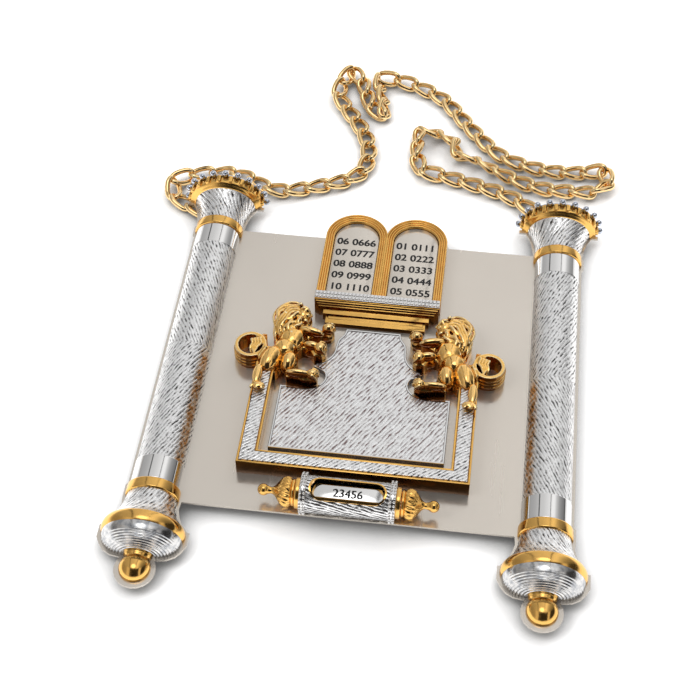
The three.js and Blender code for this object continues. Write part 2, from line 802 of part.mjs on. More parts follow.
// Stud with its hexagonal nut, from the sheet's back to the table.
function backStud(x, y) {
  const stud = new THREE.CylinderGeometry(studRadius, studRadius, studLength, 8).rotateX(Math.PI / 2);
  const nut = new THREE.CylinderGeometry(nutRadius, nutRadius, nutHeight, 6).rotateX(Math.PI / 2);
  stud.translate(x, y, -sheetThickness - studLength / 2);
  nut.translate(x, y, -sheetThickness - nutHeight / 2);
  return solid(stud).add(solid(nut));
}

// Wire staple on the back of the sheet that holds the chain's end link.
function eyePath() {
  const half = eyeSpan / 2;
  const bend = half * eyeBendShare;
  const drop = -sheetThickness - eyeDrop + eyeWire / 2;
  const path = new THREE.CurvePath();
  const points = [
    new THREE.Vector3(-half, 0, -sheetThickness + overrun),
    new THREE.Vector3(-half, 0, drop + bend),
    new THREE.Vector3(-half + bend, 0, drop),
    new THREE.Vector3(half - bend, 0, drop),
    new THREE.Vector3(half, 0, drop + bend),
    new THREE.Vector3(half, 0, -sheetThickness + overrun),
  ];
  for (let i = 1; i < points.length; i++) path.add(new THREE.LineCurve3(points[i - 1], points[i]));
  return path;
}

function chainEye(end, wire) {
  const section = new THREE.Shape().absarc(0, 0, wire / 2, 0, 2 * Math.PI, false);
  const curve = new THREE.CatmullRomCurve3(eyePath().getPoints(1), false, 'catmullrom', eyeTension);
  const staple = new THREE.ExtrudeGeometry(section, {
    extrudePath: curve,
    steps: 2 * curveSteps,
    curveSegments: 3,
  });
  staple.rotateZ(Math.atan2(end.outward.y, end.outward.x)).translate(end.tip.x, end.tip.y, 0);
  const belowSheet = block(-farSize, farSize, -farSize, farSize, -farSize, -sheetThickness);
  return solid(staple).intersect(belowSheet);
}

// Route of the chain, chosen by hand: across, up from the crowns' mouths, and 1 where the links stand on
// edge, 0 where they lie flat
const chainRoute = [
  [-106, -2.8, 0], [-117, 2.5, 0], [-127.5, 9, 0], [-131, 18, 0.6], [-122, 26, 0.2], [-108, 31, 0],
  [-92, 32, 0], [-80, 26, 0], [-71, 20.5, 0], [-61, 21.5, 0], [-49, 26, 0], [-37.5, 30.5, 0],
  [-26.5, 36, 0], [-20, 44, 0], [-18.5, 54, 0], [-19.5, 65, 0], [-23.5, 76, 0], [-30.5, 88, 0],
  [-38, 99, 0], [-44, 109, 0.2], [-42, 122, 0.6], [-36, 133.5, 1], [-31, 124, 1], [-27, 113, 0.9],
  [-23.5, 101, 0.8], [-17, 91.5, 0.8], [-11.5, 93, 0.9], [-15, 104, 0.9], [-19, 117, 1],
  [-20.5, 129, 1], [-14.5, 133.5, 1], [-9, 127, 0.6], [0, 124.5, 0.2], [9, 121, 0], [20.5, 114.5, 0],
  [28.5, 104.5, 0], [36.5, 93, 0], [45, 82, 0], [54, 71, 0], [64, 63, 0], [76, 59, 0], [88, 56.5, 0],
  [100, 56.5, 0], [111, 58, 0], [120.5, 59, 0.4], [125, 51.5, 0.6], [119, 43, 0.4], [109.5, 40, 0],
  [99.5, 41, 0], [88, 40.5, 0], [77, 43, 0], [66, 48, 0], [55, 53, 0.3], [46, 58.5, 0.9], [40, 54.5, 1],
  [34, 60, 1], [33.5, 70.5, 0.8], [25.5, 77, 0.5], [15.5, 82, 0.7], [8, 80, 1], [9, 69.5, 1],
  [12.5, 60.5, 0.9], [6, 54, 0.8], [6.5, 46.5, 0.4], [16, 46, 0.3], [27.5, 44.5, 0], [39, 41.5, 0],
  [52, 37.5, 0], [65, 33, 0], [76, 26, 0], [83, 19, 0], [88, 8, 0], [92, -1, 0], [95.5, -9, 0],
];

// Centre line of a twisted oval link in its own axes: along, across and up, at a turn round the link.
function linkPoint(turn, halfLength, halfWidth) {
  const twist = (linkTwist / 2) * Math.cos(turn);
  const squared = (value) => Math.sign(value) * Math.abs(value) ** linkSquareness;
  const along = (halfLength * squared(Math.cos(turn))) / squared(Math.cos(Math.PI / linkSteps));
  const across = halfWidth * squared(Math.sin(turn));
  return new THREE.Vector3(along, across * Math.cos(twist), across * Math.sin(twist));
}

// One closed wire link between two joints, rolled about its own length.
function chainLink(from, to, edge) {
  const along = to.clone().sub(from);
  const halfLength = along.length() / 2 + (wireDiameter - linkBite) / 2;
  const halfWidth = (linkWidth - wireDiameter) / 2;
  const positions = [];
  const corners = [];
  for (let i = 0; i < linkSteps; i++) {
    const turn = (2 * Math.PI * (i + 0.5)) / linkSteps;
    const centre = linkPoint(turn, halfLength, halfWidth);
    const ahead = linkPoint(turn + turnStep, halfLength, halfWidth).sub(centre).normalize();
    const twist = (linkTwist / 2) * Math.cos(turn);
    const face = new THREE.Vector3(0, -Math.sin(twist), Math.cos(twist));
    const side = new THREE.Vector3().crossVectors(ahead, face).normalize();
    const up = new THREE.Vector3().crossVectors(side, ahead);
    for (let k = 0; k < wireSides; k++) {
      const spin = (2 * Math.PI * k) / wireSides;
      const point = centre.clone();
      point.addScaledVector(side, (wireDiameter / 2) * Math.cos(spin));
      point.addScaledVector(up, (wireDiameter / 2) * Math.sin(spin));
      positions.push(point.x, point.y, point.z);
      const a = i * wireSides + k;
      const b = i * wireSides + ((k + 1) % wireSides);
      const next = ((i + 1) % linkSteps) * wireSides;
      const c = next + k;
      const d = next + ((k + 1) % wireSides);
      corners.push(a, c, b, b, c, d);
    }
  }
  const geometry = new THREE.BufferGeometry();
  geometry.setAttribute('position', new THREE.Float32BufferAttribute(positions, 3));
  geometry.setIndex(corners);
  geometry.rotateX(edge * (Math.PI / 2));
  const level = Math.atan2(along.z, Math.hypot(along.x, along.y));
  geometry.rotateY(-level).rotateZ(Math.atan2(along.y, along.x));
  geometry.translate((from.x + to.x) / 2, (from.y + to.y) / 2, (from.z + to.z) / 2);
  return solid(geometry);
}

// Joints of the chain: points on the route exactly one pitch apart.
function chainJoints() {
  const halfWidth = (linkWidth - wireDiameter) / 2;
  const lean = Math.asin(Math.sin(linkTwist / 3) / Math.SQRT2);
  const points = chainRoute.map(([x, y, edge], i) => {
    const lift = i === 0 || i === chainRoute.length - 1 ? endLift : 0;
    const roll = Math.min(Math.PI / 2, lean + (edge * Math.PI) / 2);
    const rise = wireDiameter / 2 + halfWidth * Math.sin(roll) + lift;
    return new THREE.Vector3(x, flareEnd + y, tableHeight + rise + clearance);
  });
  const curve = new THREE.CatmullRomCurve3(points, false, 'centripetal');
  const edges = new THREE.CatmullRomCurve3(
    chainRoute.map(([, , edge]) => new THREE.Vector3(edge, 0, 0)),
    false,
    'catmullrom',
    0,
  );
  const pitch = linkLength - 2 * wireDiameter;
  const joints = [{ point: curve.getPoint(0), edge: 0 }];
  const samples = chainRoute.length * routeSteps;
  for (let i = 1; i <= samples; i++) {
    const point = curve.getPoint(i / samples);
    if (point.distanceTo(joints.at(-1).point) >= pitch) {
      joints.push({ point, edge: edges.getPoint(i / samples).x });
    }
  }
  return joints;
}

// The end wire of the first or the last link, and the way that the chain runs out there.
function chainEnd(joint, neighbour) {
  const outward = joint.point.clone().sub(neighbour.point).normalize();
  return { tip: joint.point.clone().addScaledVector(outward, (wireDiameter - linkBite) / 2), outward };
}

function chain(joints, ends) {
  const links = [];
  for (let i = 1; i < joints.length; i++) {
    links.push(chainLink(joints[i - 1].point, joints[i].point, (joints[i - 1].edge + joints[i].edge) / 2));
  }
  const room = joined(ends.map((end) => chainEye(end, eyeWire + 2 * clearance)));
  return filled(joined(links).subtract(room));
}

addPiece('back_plate', backPlate(), silver);
for (const [side, sign] of [['left', -1], ['right', 1]]) {
  for (const [name, body, finish] of staveParts()) {
    addPiece(`${name}_${side}`, body.translate(sign * staveX, 0, 0), finish);
  }
}
addPiece('tablets_frame', tabletsFrame(), gilt);
addPiece('tablet_panel_left', slab(tabletPanelOutline(-1, clearance), 0, tabletPanelHeight), silver);
addPiece('tablet_panel_right', slab(tabletPanelOutline(1, clearance), 0, tabletPanelHeight), silver);
addPiece('cornice', cornice(), gilt);
addPiece('cornice_beading', corniceBeading(), silver);
addPiece('frame_tray', frameTray(), gilt);
addPiece('frame_border', frameBorder(), chasedSilver);
addPiece('centre_panel', centrePanel(), chasedSilver);
const rightLion = lion();
addPiece('lion_right', rightLion, gilt);
addPiece('lion_left', rightLion.mirror([1, 0, 0]), gilt);
addPiece('holder_barrel', holderBarrel(), chasedSilver);
addPiece('window_bezel', windowBezel(), gilt);
for (const [side, sign] of [['left', -1], ['right', 1]]) {
  addPiece(`holder_ring_${side}`, holderRing(sign), silver);
  addPiece(`holder_cap_${side}`, holderCap(sign), gilt);
  addPiece(`knob_${side}`, knob(sign), gilt);
}
addPiece('name_drum', nameDrum(), silver);
addPiece('drum_axle', drumAxle(), silver);
for (const [side, sign] of [['left', -1], ['right', 1]]) {
  const staveStud = shaftReach * staveStudShare;
  addPiece(`back_stud_stave_top_${side}`, backStud(staveX * sign, staveStud), silver);
  addPiece(`back_stud_stave_foot_${side}`, backStud(staveX * sign, -staveStud), silver);
  const frameX = (frameHalfWidth - frameArmWidth / 2) * sign;
  const frameY = frameBottom + frameTall * frameStudShare;
  const tabletX = (tabletsHalfWidth - tabletArchRadius) * sign;
  const tabletY = corniceTop + tabletStraight * tabletStudShare;
  addPiece(`back_stud_frame_${side}`, backStud(frameX, frameY), silver);
  addPiece(`back_stud_tablet_${side}`, backStud(tabletX, tabletY), silver);
}
const joints = chainJoints();
const chainEnds = [chainEnd(joints[0], joints[1]), chainEnd(joints.at(-1), joints.at(-2))];
addPiece('chain_eye_left', chainEye(chainEnds[0], eyeWire), silver);
addPiece('chain_eye_right', chainEye(chainEnds[1], eyeWire), silver);
addPiece('chain', chain(joints, chainEnds), paleGilt);

export default shield;
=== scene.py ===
# %% [markdown]
# # A torah shield in silver and gold plate
# The shield is a flat sheet that carries two half-round scroll staves, two lions, two tablets on a
# cornice, a raised frame and a small turning name bar. A chain lies loose behind it. The solids are
# loaded as a fixed frame, so every piece made here is measured from them and sits where they are.

# %% Frame and sizes
import bpy
import bmesh
import math
import random
from mathutils import Matrix, Vector


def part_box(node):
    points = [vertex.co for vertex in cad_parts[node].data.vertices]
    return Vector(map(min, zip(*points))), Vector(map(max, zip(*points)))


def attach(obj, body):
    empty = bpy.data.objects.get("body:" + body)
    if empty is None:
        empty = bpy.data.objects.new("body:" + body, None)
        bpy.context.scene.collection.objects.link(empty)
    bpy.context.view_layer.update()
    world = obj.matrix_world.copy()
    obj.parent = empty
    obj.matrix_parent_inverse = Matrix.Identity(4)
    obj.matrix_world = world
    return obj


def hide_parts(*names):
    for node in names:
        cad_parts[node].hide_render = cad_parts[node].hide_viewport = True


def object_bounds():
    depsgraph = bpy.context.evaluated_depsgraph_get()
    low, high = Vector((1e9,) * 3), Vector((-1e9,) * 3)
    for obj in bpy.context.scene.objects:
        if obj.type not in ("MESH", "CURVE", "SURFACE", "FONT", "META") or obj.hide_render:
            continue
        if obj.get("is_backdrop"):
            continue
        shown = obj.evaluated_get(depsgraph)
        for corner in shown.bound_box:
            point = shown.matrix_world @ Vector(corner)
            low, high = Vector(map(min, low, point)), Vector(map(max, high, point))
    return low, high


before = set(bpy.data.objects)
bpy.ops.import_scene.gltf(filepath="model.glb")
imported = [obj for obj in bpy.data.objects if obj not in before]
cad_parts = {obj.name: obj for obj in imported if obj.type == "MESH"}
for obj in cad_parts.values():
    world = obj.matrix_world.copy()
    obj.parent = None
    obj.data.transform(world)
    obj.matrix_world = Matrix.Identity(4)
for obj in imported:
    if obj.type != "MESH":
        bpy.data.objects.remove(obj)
cad_low, cad_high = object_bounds()
MM = 0.001
BODY = "shield"
BAR = "name_bar"
collection = bpy.context.scene.collection

shaft_low, shaft_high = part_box("stave_shaft_right")
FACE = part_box("back_plate")[1].z
MID_Y = (shaft_low.y + shaft_high.y) / 2
STAVE_X = (shaft_low.x + shaft_high.x) / 2
SHAFT_RADIUS = (shaft_high.x - shaft_low.x) / 2
RISE = (shaft_high.z - FACE) / SHAFT_RADIUS
print("sheet face at", round(FACE / MM, 2), "mm, stave axes at", round(STAVE_X / MM, 2), "mm")

# %% [markdown]
# ## Camera
# The photograph looks down on the shield from its foot at about fifty degrees, a little from the right.
# The camera was found by matching corners of the sheet and the staves, and its roll is nil.

# %% Camera
CAMERA_PLACE = Vector((48.9, -465.15, 596.1)) * MM
CAMERA_FORWARD = Vector((-0.0783, 0.6373, -0.7667))
FOCAL_PIXELS = 1460.4
FRAME_PIXELS = 700

camera_data = bpy.data.cameras.new("camera")
camera_data.sensor_width = 36
camera_data.lens = FOCAL_PIXELS / FRAME_PIXELS * camera_data.sensor_width
camera_data.clip_start = 0.01
camera = bpy.data.objects.new("camera", camera_data)
camera.location = CAMERA_PLACE
camera.rotation_euler = CAMERA_FORWARD.to_track_quat("-Z", "Y").to_euler()
collection.objects.link(camera)
bpy.context.scene.camera = camera
print("camera lens:", round(camera_data.lens, 1), "mm")

# %% [markdown]
# ## The chain's route
# The chain is limp and lies on the table. The route goes through the points that the solid follows, in
# millimetres, from the left crown to the right one: across and up. The third number says how far the
# links are turned on edge there, from 0 to 1, because they stand up where the chain is gathered. A
# smooth curve goes through the points, and a joint is put on it wherever the next link begins.

# %% Chain route
CHAIN_ROUTE = [
    (-106, 107.2, 0), (-117, 112.5, 0), (-127.5, 119, 0), (-131, 128, 0.6), (-122, 136, 0.2),
    (-108, 141, 0), (-92, 142, 0), (-80, 136, 0), (-71, 130.5, 0), (-61, 131.5, 0), (-49, 136, 0),
    (-37.5, 140.5, 0), (-26.5, 146, 0), (-20, 154, 0), (-18.5, 164, 0), (-19.5, 175, 0),
    (-23.5, 186, 0), (-30.5, 198, 0), (-38, 209, 0), (-44, 219, 0.2), (-42, 232, 0.4),
    (-36, 243.5, 0.5), (-31, 234, 0.5), (-27, 223, 0.5), (-23.5, 211, 0.4), (-17, 201.5, 0.4),
    (-11.5, 203, 0.5), (-15, 214, 0.6), (-19, 227, 0.6), (-20.5, 239, 0.5), (-14.5, 243.5, 0.4),
    (-9, 237, 0.3), (0, 234.5, 0.2), (9, 231, 0), (20.5, 224.5, 0), (28.5, 214.5, 0), (36.5, 203, 0),
    (45, 192, 0), (54, 181, 0), (64, 173, 0), (76, 169, 0), (88, 166.5, 0), (100, 166.5, 0),
    (111, 168, 0), (120.5, 169, 0.4), (125, 161.5, 0.6), (119, 153, 0.4), (109.5, 150, 0),
    (99.5, 151, 0), (88, 150.5, 0), (77, 153, 0), (66, 158, 0), (55, 163, 0.3), (46, 168.5, 0.5),
    (40, 164.5, 0.6), (34, 170, 0.6), (33.5, 180.5, 0.5), (25.5, 187, 0.3), (15.5, 192, 0.4),
    (8, 190, 0.5), (9, 179.5, 0.6), (12.5, 170.5, 0.5), (6, 164, 0.5), (6.5, 156.5, 0.4),
    (16, 156, 0.3), (27.5, 154.5, 0), (39, 151.5, 0), (52, 147.5, 0), (65, 143, 0), (76, 136, 0),
    (83, 129, 0), (88, 118, 0), (92, 109, 0), (95.5, 101, 0),
]
LINK_LENGTH = 18.2 * MM
LINK_WIDTH = 10.6 * MM
WIRE = 3.1 * MM
LINK_TWIST = math.radians(85)
LINK_LEAN = math.asin(math.sin(LINK_TWIST / 3) / math.sqrt(2))
LINK_BITE = 0.9 * MM
END_LIFT = 0.8 * MM
REST_GAP = 0.6 * MM
CURVE_STEPS = 60


def route_point(index):
    """A point of the route in the frame, with its height from how the links lie there."""
    across, up, edge = CHAIN_ROUTE[index]
    roll = min(math.pi / 2, LINK_LEAN + edge * math.pi / 2)
    lift = END_LIFT if index in (0, len(CHAIN_ROUTE) - 1) else 0
    rise = WIRE / 2 + (LINK_WIDTH - WIRE) / 2 * math.sin(roll) + lift + REST_GAP
    return Vector((across * MM, up * MM + MID_Y, rise))


def curve_point(points, share):
    """Centripetal curve through the points, at a share of its points."""
    place = (len(points) - 1) * share
    index = min(int(place), len(points) - 2)
    weight = place - index
    p1, p2 = points[index], points[index + 1]
    p0 = points[index - 1] if index > 0 else p1 * 2 - p2
    p3 = points[index + 2] if index + 2 < len(points) else p2 * 2 - p1
    t0, t1, t2 = ((b - a).length ** 0.5 for a, b in ((p0, p1), (p1, p2), (p2, p3)))
    m1 = ((p1 - p0) / t0 - (p2 - p0) / (t0 + t1) + (p2 - p1) / t1) * t1
    m2 = ((p2 - p1) / t1 - (p3 - p1) / (t1 + t2) + (p3 - p2) / t2) * t1
    square, cube = weight ** 2, weight ** 3
    return p1 * (2 * cube - 3 * square + 1) + m1 * (cube - 2 * square + weight) \
        + p2 * (3 * square - 2 * cube) + m2 * (cube - square)


def chain_joints():
    """Places one pitch apart on the route, where one link hangs in the next."""
    points = [route_point(i) for i in range(len(CHAIN_ROUTE))]
    edges = [Vector((edge, 0, 0)) for _, _, edge in CHAIN_ROUTE]
    pitch = LINK_LENGTH - 2 * WIRE
    joints = [(points[0], 0)]
    samples = len(points) * CURVE_STEPS
    for i in range(1, samples + 1):
        point = curve_point(points, i / samples)
        if (point - joints[-1][0]).length >= pitch:
            place = (len(points) - 1) * i / samples
            before = min(int(place), len(points) - 2)
            edge = edges[before].lerp(edges[before + 1], place - before).x
            joints.append((point, edge))
    return joints


joints = chain_joints()
print("chain:", len(joints) - 1, "links")


# %% [markdown]
# ## One link
# A curb link is an oval of wire that is twisted about its length, so that each link lies flat in its
# neighbours. A curve with a bevel could make the wire, but its section would turn on its own. Here small
# circles are set along the oval, each turned with the twist, and neighbours are bridged into a tube.

# %% Link
LINK_STEPS = 26
WIRE_SIDES = 10
FULL_ALONG, FULL_ACROSS = 0.72, 0.8


def made_mesh(bm, name):
    """Ends a bmesh as a mesh with its faces turned outwards."""
    bmesh.ops.recalc_face_normals(bm, faces=bm.faces)
    mesh = bpy.data.meshes.new(name)
    bm.to_mesh(mesh)
    bm.free()
    return mesh


def fuller(value, power):
    """Powers under 1 push a round curve out towards a box."""
    return math.copysign(abs(value) ** power, value)


def link_point(turn, half_length):
    """A point of the wire's middle line, on an oval that twists from tip to tip."""
    twist = LINK_TWIST / 2 * math.cos(turn)
    along = half_length * fuller(math.cos(turn), FULL_ALONG)
    across = (LINK_WIDTH - WIRE) / 2 * fuller(math.sin(turn), FULL_ACROSS)
    return Vector((along, across * math.cos(twist), across * math.sin(twist)))


def link_mesh(half_length):
    """One closed wire link along X."""
    bm = bmesh.new()
    rings = []
    for i in range(LINK_STEPS):
        turn = 2 * math.pi * (i + 0.5) / LINK_STEPS
        centre = link_point(turn, half_length)
        ahead = (link_point(turn + 0.01, half_length) - centre).normalized()
        twist = LINK_TWIST / 2 * math.cos(turn)
        side = ahead.cross(Vector((0, -math.sin(twist), math.cos(twist)))).normalized()
        ring = bmesh.ops.create_circle(bm, cap_ends=False, segments=WIRE_SIDES, radius=WIRE / 2)
        ring = ring["verts"]
        turned = Matrix((side, side.cross(ahead), ahead)).transposed().to_4x4()
        bmesh.ops.transform(bm, matrix=Matrix.Translation(centre) @ turned, verts=ring)
        rings.append(list({edge for v in ring for edge in v.link_edges}))
    for i, ring in enumerate(rings):
        bmesh.ops.bridge_loops(bm, edges=ring + rings[(i + 1) % LINK_STEPS])
    return made_mesh(bm, "link")


def add_copy(bm, mesh, matrix):
    """Adds a copy of a small mesh at a place: the way to repeat links, beads and blocks."""
    placed = mesh.copy()
    placed.transform(matrix)
    bm.from_mesh(placed)
    bpy.data.meshes.remove(placed)


def link_place(start, end, edge):
    """Where a link goes between two joints, and how it is turned there."""
    along = end - start
    heading = math.atan2(along.y, along.x)
    slope = math.atan2(along.z, math.hypot(along.x, along.y))
    place = Matrix.Translation((start + end) / 2) @ Matrix.Rotation(heading, 4, "Z")
    return place @ Matrix.Rotation(-slope, 4, "Y") @ Matrix.Rotation(edge * math.pi / 2, 4, "X")


link = link_mesh((LINK_LENGTH - WIRE - LINK_BITE) / 2)
print("one link:", [round(size / MM, 1) for size in (LINK_LENGTH, LINK_WIDTH)], "mm")

# %% [markdown]
# ## Finishes
# Polished metal is seen by what it reflects, so its colour stays plain and the work goes into roughness
# and fine relief. Each finish is a short function that returns a material. Patterns read Object
# coordinates, which are the frame's own metres, so a scale of 1000 counts millimetres.

# %% Material helpers
def new_material(name, colour, metallic, roughness):
    material = bpy.data.materials.new(name)
    material.use_nodes = True
    shader = material.node_tree.nodes["Principled BSDF"]
    shader.inputs["Base Color"].default_value = (*colour, 1)
    shader.inputs["Metallic"].default_value = metallic
    shader.inputs["Roughness"].default_value = roughness
    return material, material.node_tree, shader


def node(tree, kind, *inputs, **settings):
    """Adds a node; inputs are sockets or values, in the order of its sockets, None to leave one."""
    made = tree.nodes.new(kind)
    for key, value in settings.items():
        setattr(made, key, value)
    for socket, value in zip(made.inputs, inputs):
        if value is None:
            continue
        if isinstance(value, bpy.types.NodeSocket):
            tree.links.new(value, socket)
        else:
            socket.default_value = value
    return made


def sums(tree, operation, first, second=None):
    """One sum, with the name of the Math node's operation."""
    return node(tree, "ShaderNodeMath", first, second, operation=operation).outputs[0]


def times(tree, first, *factors):
    """The product of two or more values."""
    for factor in factors:
        first = sums(tree, "MULTIPLY", first, factor)
    return first


def tinted(tree, colour, tint):
    return node(tree, "ShaderNodeVectorMath", colour, tint, operation="MULTIPLY").outputs[0]


def object_axes(tree):
    """Object coordinates, whole and as x, y and z."""
    place = tree.nodes.new("ShaderNodeTexCoord").outputs["Object"]
    split = node(tree, "ShaderNodeSeparateXYZ", place)
    return place, split.outputs[0], split.outputs[1], split.outputs[2]


def ramp(tree, value, stops):
    """A colour ramp; each stop is made at its place, so their order never changes."""
    made = node(tree, "ShaderNodeValToRGB", value)
    elements = made.color_ramp.elements
    elements.remove(elements[1])
    elements[0].position = stops[0][0]
    elements[0].color = (*stops[0][1], 1)
    for position, colour in stops[1:]:
        elements.new(position).color = (*colour, 1)
    return made.outputs[0]


def grey(value):
    return (value, value, value)


def noise_value(tree, vector, scale, detail=2.0, roughness=0.5, distortion=0.0):
    made = node(tree, "ShaderNodeTexNoise", vector)
    made.inputs["Scale"].default_value = scale
    made.inputs["Detail"].default_value = detail
    made.inputs["Roughness"].default_value = roughness
    made.inputs["Distortion"].default_value = distortion
    return made.outputs["Fac"]


def bump(tree, shader, height, strength, distance):
    made = node(tree, "ShaderNodeBump")
    made.inputs["Strength"].default_value = strength
    made.inputs["Distance"].default_value = distance
    tree.links.new(height, made.inputs["Height"])
    tree.links.new(made.outputs[0], shader.inputs["Normal"])


# %% [markdown]
# ## Gold plate
# The gilding is bright and even on the collars and bands, and darker in the hollows of the lions and the
# chain. The Pointiness of the surface finds the hollows and edges: painted shade darkens the one, and a
# painted highlight makes the other pale. The walls that face the foot stand in the dark of the room, so
# on cornice, frame and lions the surface normal finds them and paints shade on them.

# %% Gold plate
GOLD = (0.93, 0.54, 0.15)
# Painted shade for the hollows, and a painted highlight for the edges.
HOLLOW_SHADE_GOLD = (0.28, 0.12, 0.02)
EDGE_HIGHLIGHT_GOLD = (0.98, 0.76, 0.38)


def gold_plate(name, colour=GOLD, hollow_shade=HOLLOW_SHADE_GOLD, edge_highlight=EDGE_HIGHLIGHT_GOLD, cavity=0.0, waves=0.15,
               dull=0.24, riser_shade=None, riser_start=0.75):
    """Gold; cavity is how far the painted shade in hollows and the painted highlight on edges spread, and
    the riser colour paints shade on the foot-facing walls.
    """
    material, tree, shader = new_material(name, colour, 1.0, 0.16)
    place, _, _, _ = object_axes(tree)
    cloud = noise_value(tree, place, 160, 3)
    rough = ramp(tree, cloud, [(0.3, grey(dull * 0.4)), (0.75, grey(dull))])
    tree.links.new(rough, shader.inputs["Roughness"])
    fine = noise_value(tree, place, 900, 2)
    bump(tree, shader, fine, waves, 0.05 * MM)
    geometry = tree.nodes.new("ShaderNodeNewGeometry")
    # Pointiness paints shade into hollows and a highlight onto edges.
    if cavity:
        tint = ramp(tree, geometry.outputs["Pointiness"], [
            (0.5 - cavity, hollow_shade), (0.5, colour), (0.5 + cavity, edge_highlight)])
    else:
        tint = ramp(tree, cloud, [(0.35, [c * 0.86 for c in colour]), (0.7, colour)])
    # Painted shade on the walls that face the foot, found by the surface normal.
    if riser_shade is not None:
        towards_crown = node(tree, "ShaderNodeSeparateXYZ", geometry.outputs["Normal"]).outputs[1]
        towards_foot = times(tree, towards_crown, -1.0)
        tint = tinted(tree, tint, ramp(tree, towards_foot, [(riser_start, grey(1)), (0.93, riser_shade)]))
    tree.links.new(tint, shader.inputs["Base Color"])
    return material


gilt = gold_plate("gilt")
# Cornice, tray and lions carry painted shade on the walls that face the foot.
cornice_gold = gold_plate("cornice_gold", dull=0.14, riser_shade=(0.14, 0.10, 0.06))
tray_gold = gold_plate("tray_gold", dull=0.18, riser_shade=(0.13, 0.09, 0.06))
# Lions and chain carry painted shade in their hollows and a painted highlight on their edges.
lion_gold = gold_plate("lion_gold", (1.0, 0.57, 0.15), (0.20, 0.07, 0.01), (1.0, 0.84, 0.5),
                       cavity=0.045, waves=0.2, dull=0.15, riser_shade=(0.26, 0.13, 0.06), riser_start=0.6)
chain_gold = gold_plate("chain_gold", (0.88, 0.50, 0.15), (0.24, 0.10, 0.02), (1.0, 0.8, 0.46),
                        cavity=0.1, waves=0.05, dull=0.12)
print("gold finishes:", len(bpy.data.materials))

# %% [markdown]
# ## Silver
# The sheet is polished, with a faint wipe of cloth marks. The staves, the panel and the holder are
# chased: thousands of long strokes lie side by side, and dark polish stays between them. A stroke is
# noise that is stretched along one direction. On the staves the direction turns over at half height and
# mirrors from one stave to the other, so |x| and the sign of y steer it. On the inner flank of their
# lower half a patchy warm tint is a painted reflection of the gold frame beside it.

# %% Silver
SILVER = (0.80, 0.79, 0.78)
SHEET_SILVER = (0.70, 0.645, 0.575)
OXIDE = (0.05, 0.045, 0.045)
ROSE = (0.25, 0.165, 0.165)
# Colour of the painted reflection of the gold frame on the staves.
FRAME_REFLECTION_TINT = (0.66, 0.36, 0.14)


def mirror_silver(name, colour=SILVER, roughness=0.07, metallic=1.0):
    """Polished silver, with cloth marks that run up and down the shield."""
    material, tree, shader = new_material(name, colour, metallic, roughness)
    place, x, y, _ = object_axes(tree)
    wipe = node(tree, "ShaderNodeCombineXYZ", times(tree, x, 300.0), times(tree, y, 12.0))
    marks = noise_value(tree, wipe.outputs[0], 1.0, 4)
    rough = ramp(tree, marks, [(0.3, grey(roughness * 0.7)), (0.8, grey(roughness * 2))])
    tree.links.new(rough, shader.inputs["Roughness"])
    cloud = noise_value(tree, place, 14, 3)
    tint = ramp(tree, cloud, [(0.3, [c * 0.93 for c in colour]), (0.7, colour)])
    tree.links.new(tint, shader.inputs["Base Color"])
    return material


STROKE_WANDER = 8.0
EVEN_SHARE = 0.12


def stroke_height(tree, along, across, length, width):
    """Height of chased strokes: even lines that wander a little, broken up along their length."""
    wander = node(tree, "ShaderNodeCombineXYZ", times(tree, along, 0.9 / length),
                  times(tree, across, 0.25 / width))
    phase = times(tree, noise_value(tree, wander.outputs[0], 1.0, 2), STROKE_WANDER)
    turns = times(tree, across, 2 * math.pi / width)
    wave = sums(tree, "SINE", sums(tree, "ADD", turns, phase))
    grain = node(tree, "ShaderNodeCombineXYZ", times(tree, along, 2.6 / length),
                 times(tree, across, 1.1 / width))
    broken = noise_value(tree, grain.outputs[0], 1.0, 4, 0.65, 0.4)
    return sums(tree, "ADD", times(tree, wave, EVEN_SHARE), broken)


def turned_axes(tree, x, y, angle):
    """The coordinates along and across a direction at an angle to +X."""
    cosine, sine = math.cos(angle), math.sin(angle)
    along = sums(tree, "ADD", times(tree, x, cosine), times(tree, y, sine))
    across = sums(tree, "SUBTRACT", times(tree, y, cosine), times(tree, x, sine))
    return along, across


def blended(tree, share, first, second):
    """Two colours mixed: the first at a share of 0, the second at 1."""
    mixed = node(tree, "ShaderNodeMix", data_type="RGBA")
    tree.links.new(share, mixed.inputs[0])
    for socket, value in ((mixed.inputs[6], first), (mixed.inputs[7], second)):
        if isinstance(value, bpy.types.NodeSocket):
            tree.links.new(value, socket)
        else:
            socket.default_value = (*value, 1)
    return mixed.outputs[2]


STROKE_DEPTH = 0.42 * MM


def chase(tree, shader, height, mask=None, hollow=OXIDE, dark=0.0, frame_reflection=None):
    """Colours and raises the strokes.

    A mask of 0 leaves the metal polished, dark widens the hollows, and the last one, from 0 to 1, tints
    them with a painted reflection of the gold frame.
    """
    half_way = [(c + 0.75) / 2 for c in hollow]
    crests = ramp(tree, height, [(0.29 + dark, hollow), (0.36 + dark, half_way),
                                 (0.44 + dark, (0.80, 0.79, 0.785)), (0.6, grey(0.93))])
    # The gold frame's reflection, painted as a warm tint.
    if frame_reflection is not None:
        crests = tinted(tree, crests, ramp(tree, frame_reflection, [(0, grey(1)), (1, FRAME_REFLECTION_TINT)]))
    rough = ramp(tree, height, [(0.32, grey(0.5)), (0.52, grey(0.22))])
    if mask is None:
        tree.links.new(crests, shader.inputs["Base Color"])
        tree.links.new(rough, shader.inputs["Roughness"])
        bump(tree, shader, height, 1.0, STROKE_DEPTH)
        return
    tree.links.new(blended(tree, mask, SILVER, crests), shader.inputs["Base Color"])
    polish = sums(tree, "ADD", times(tree, rough, mask), 0.07)
    tree.links.new(polish, shader.inputs["Roughness"])
    bump(tree, shader, times(tree, height, mask), 1.0, STROKE_DEPTH)


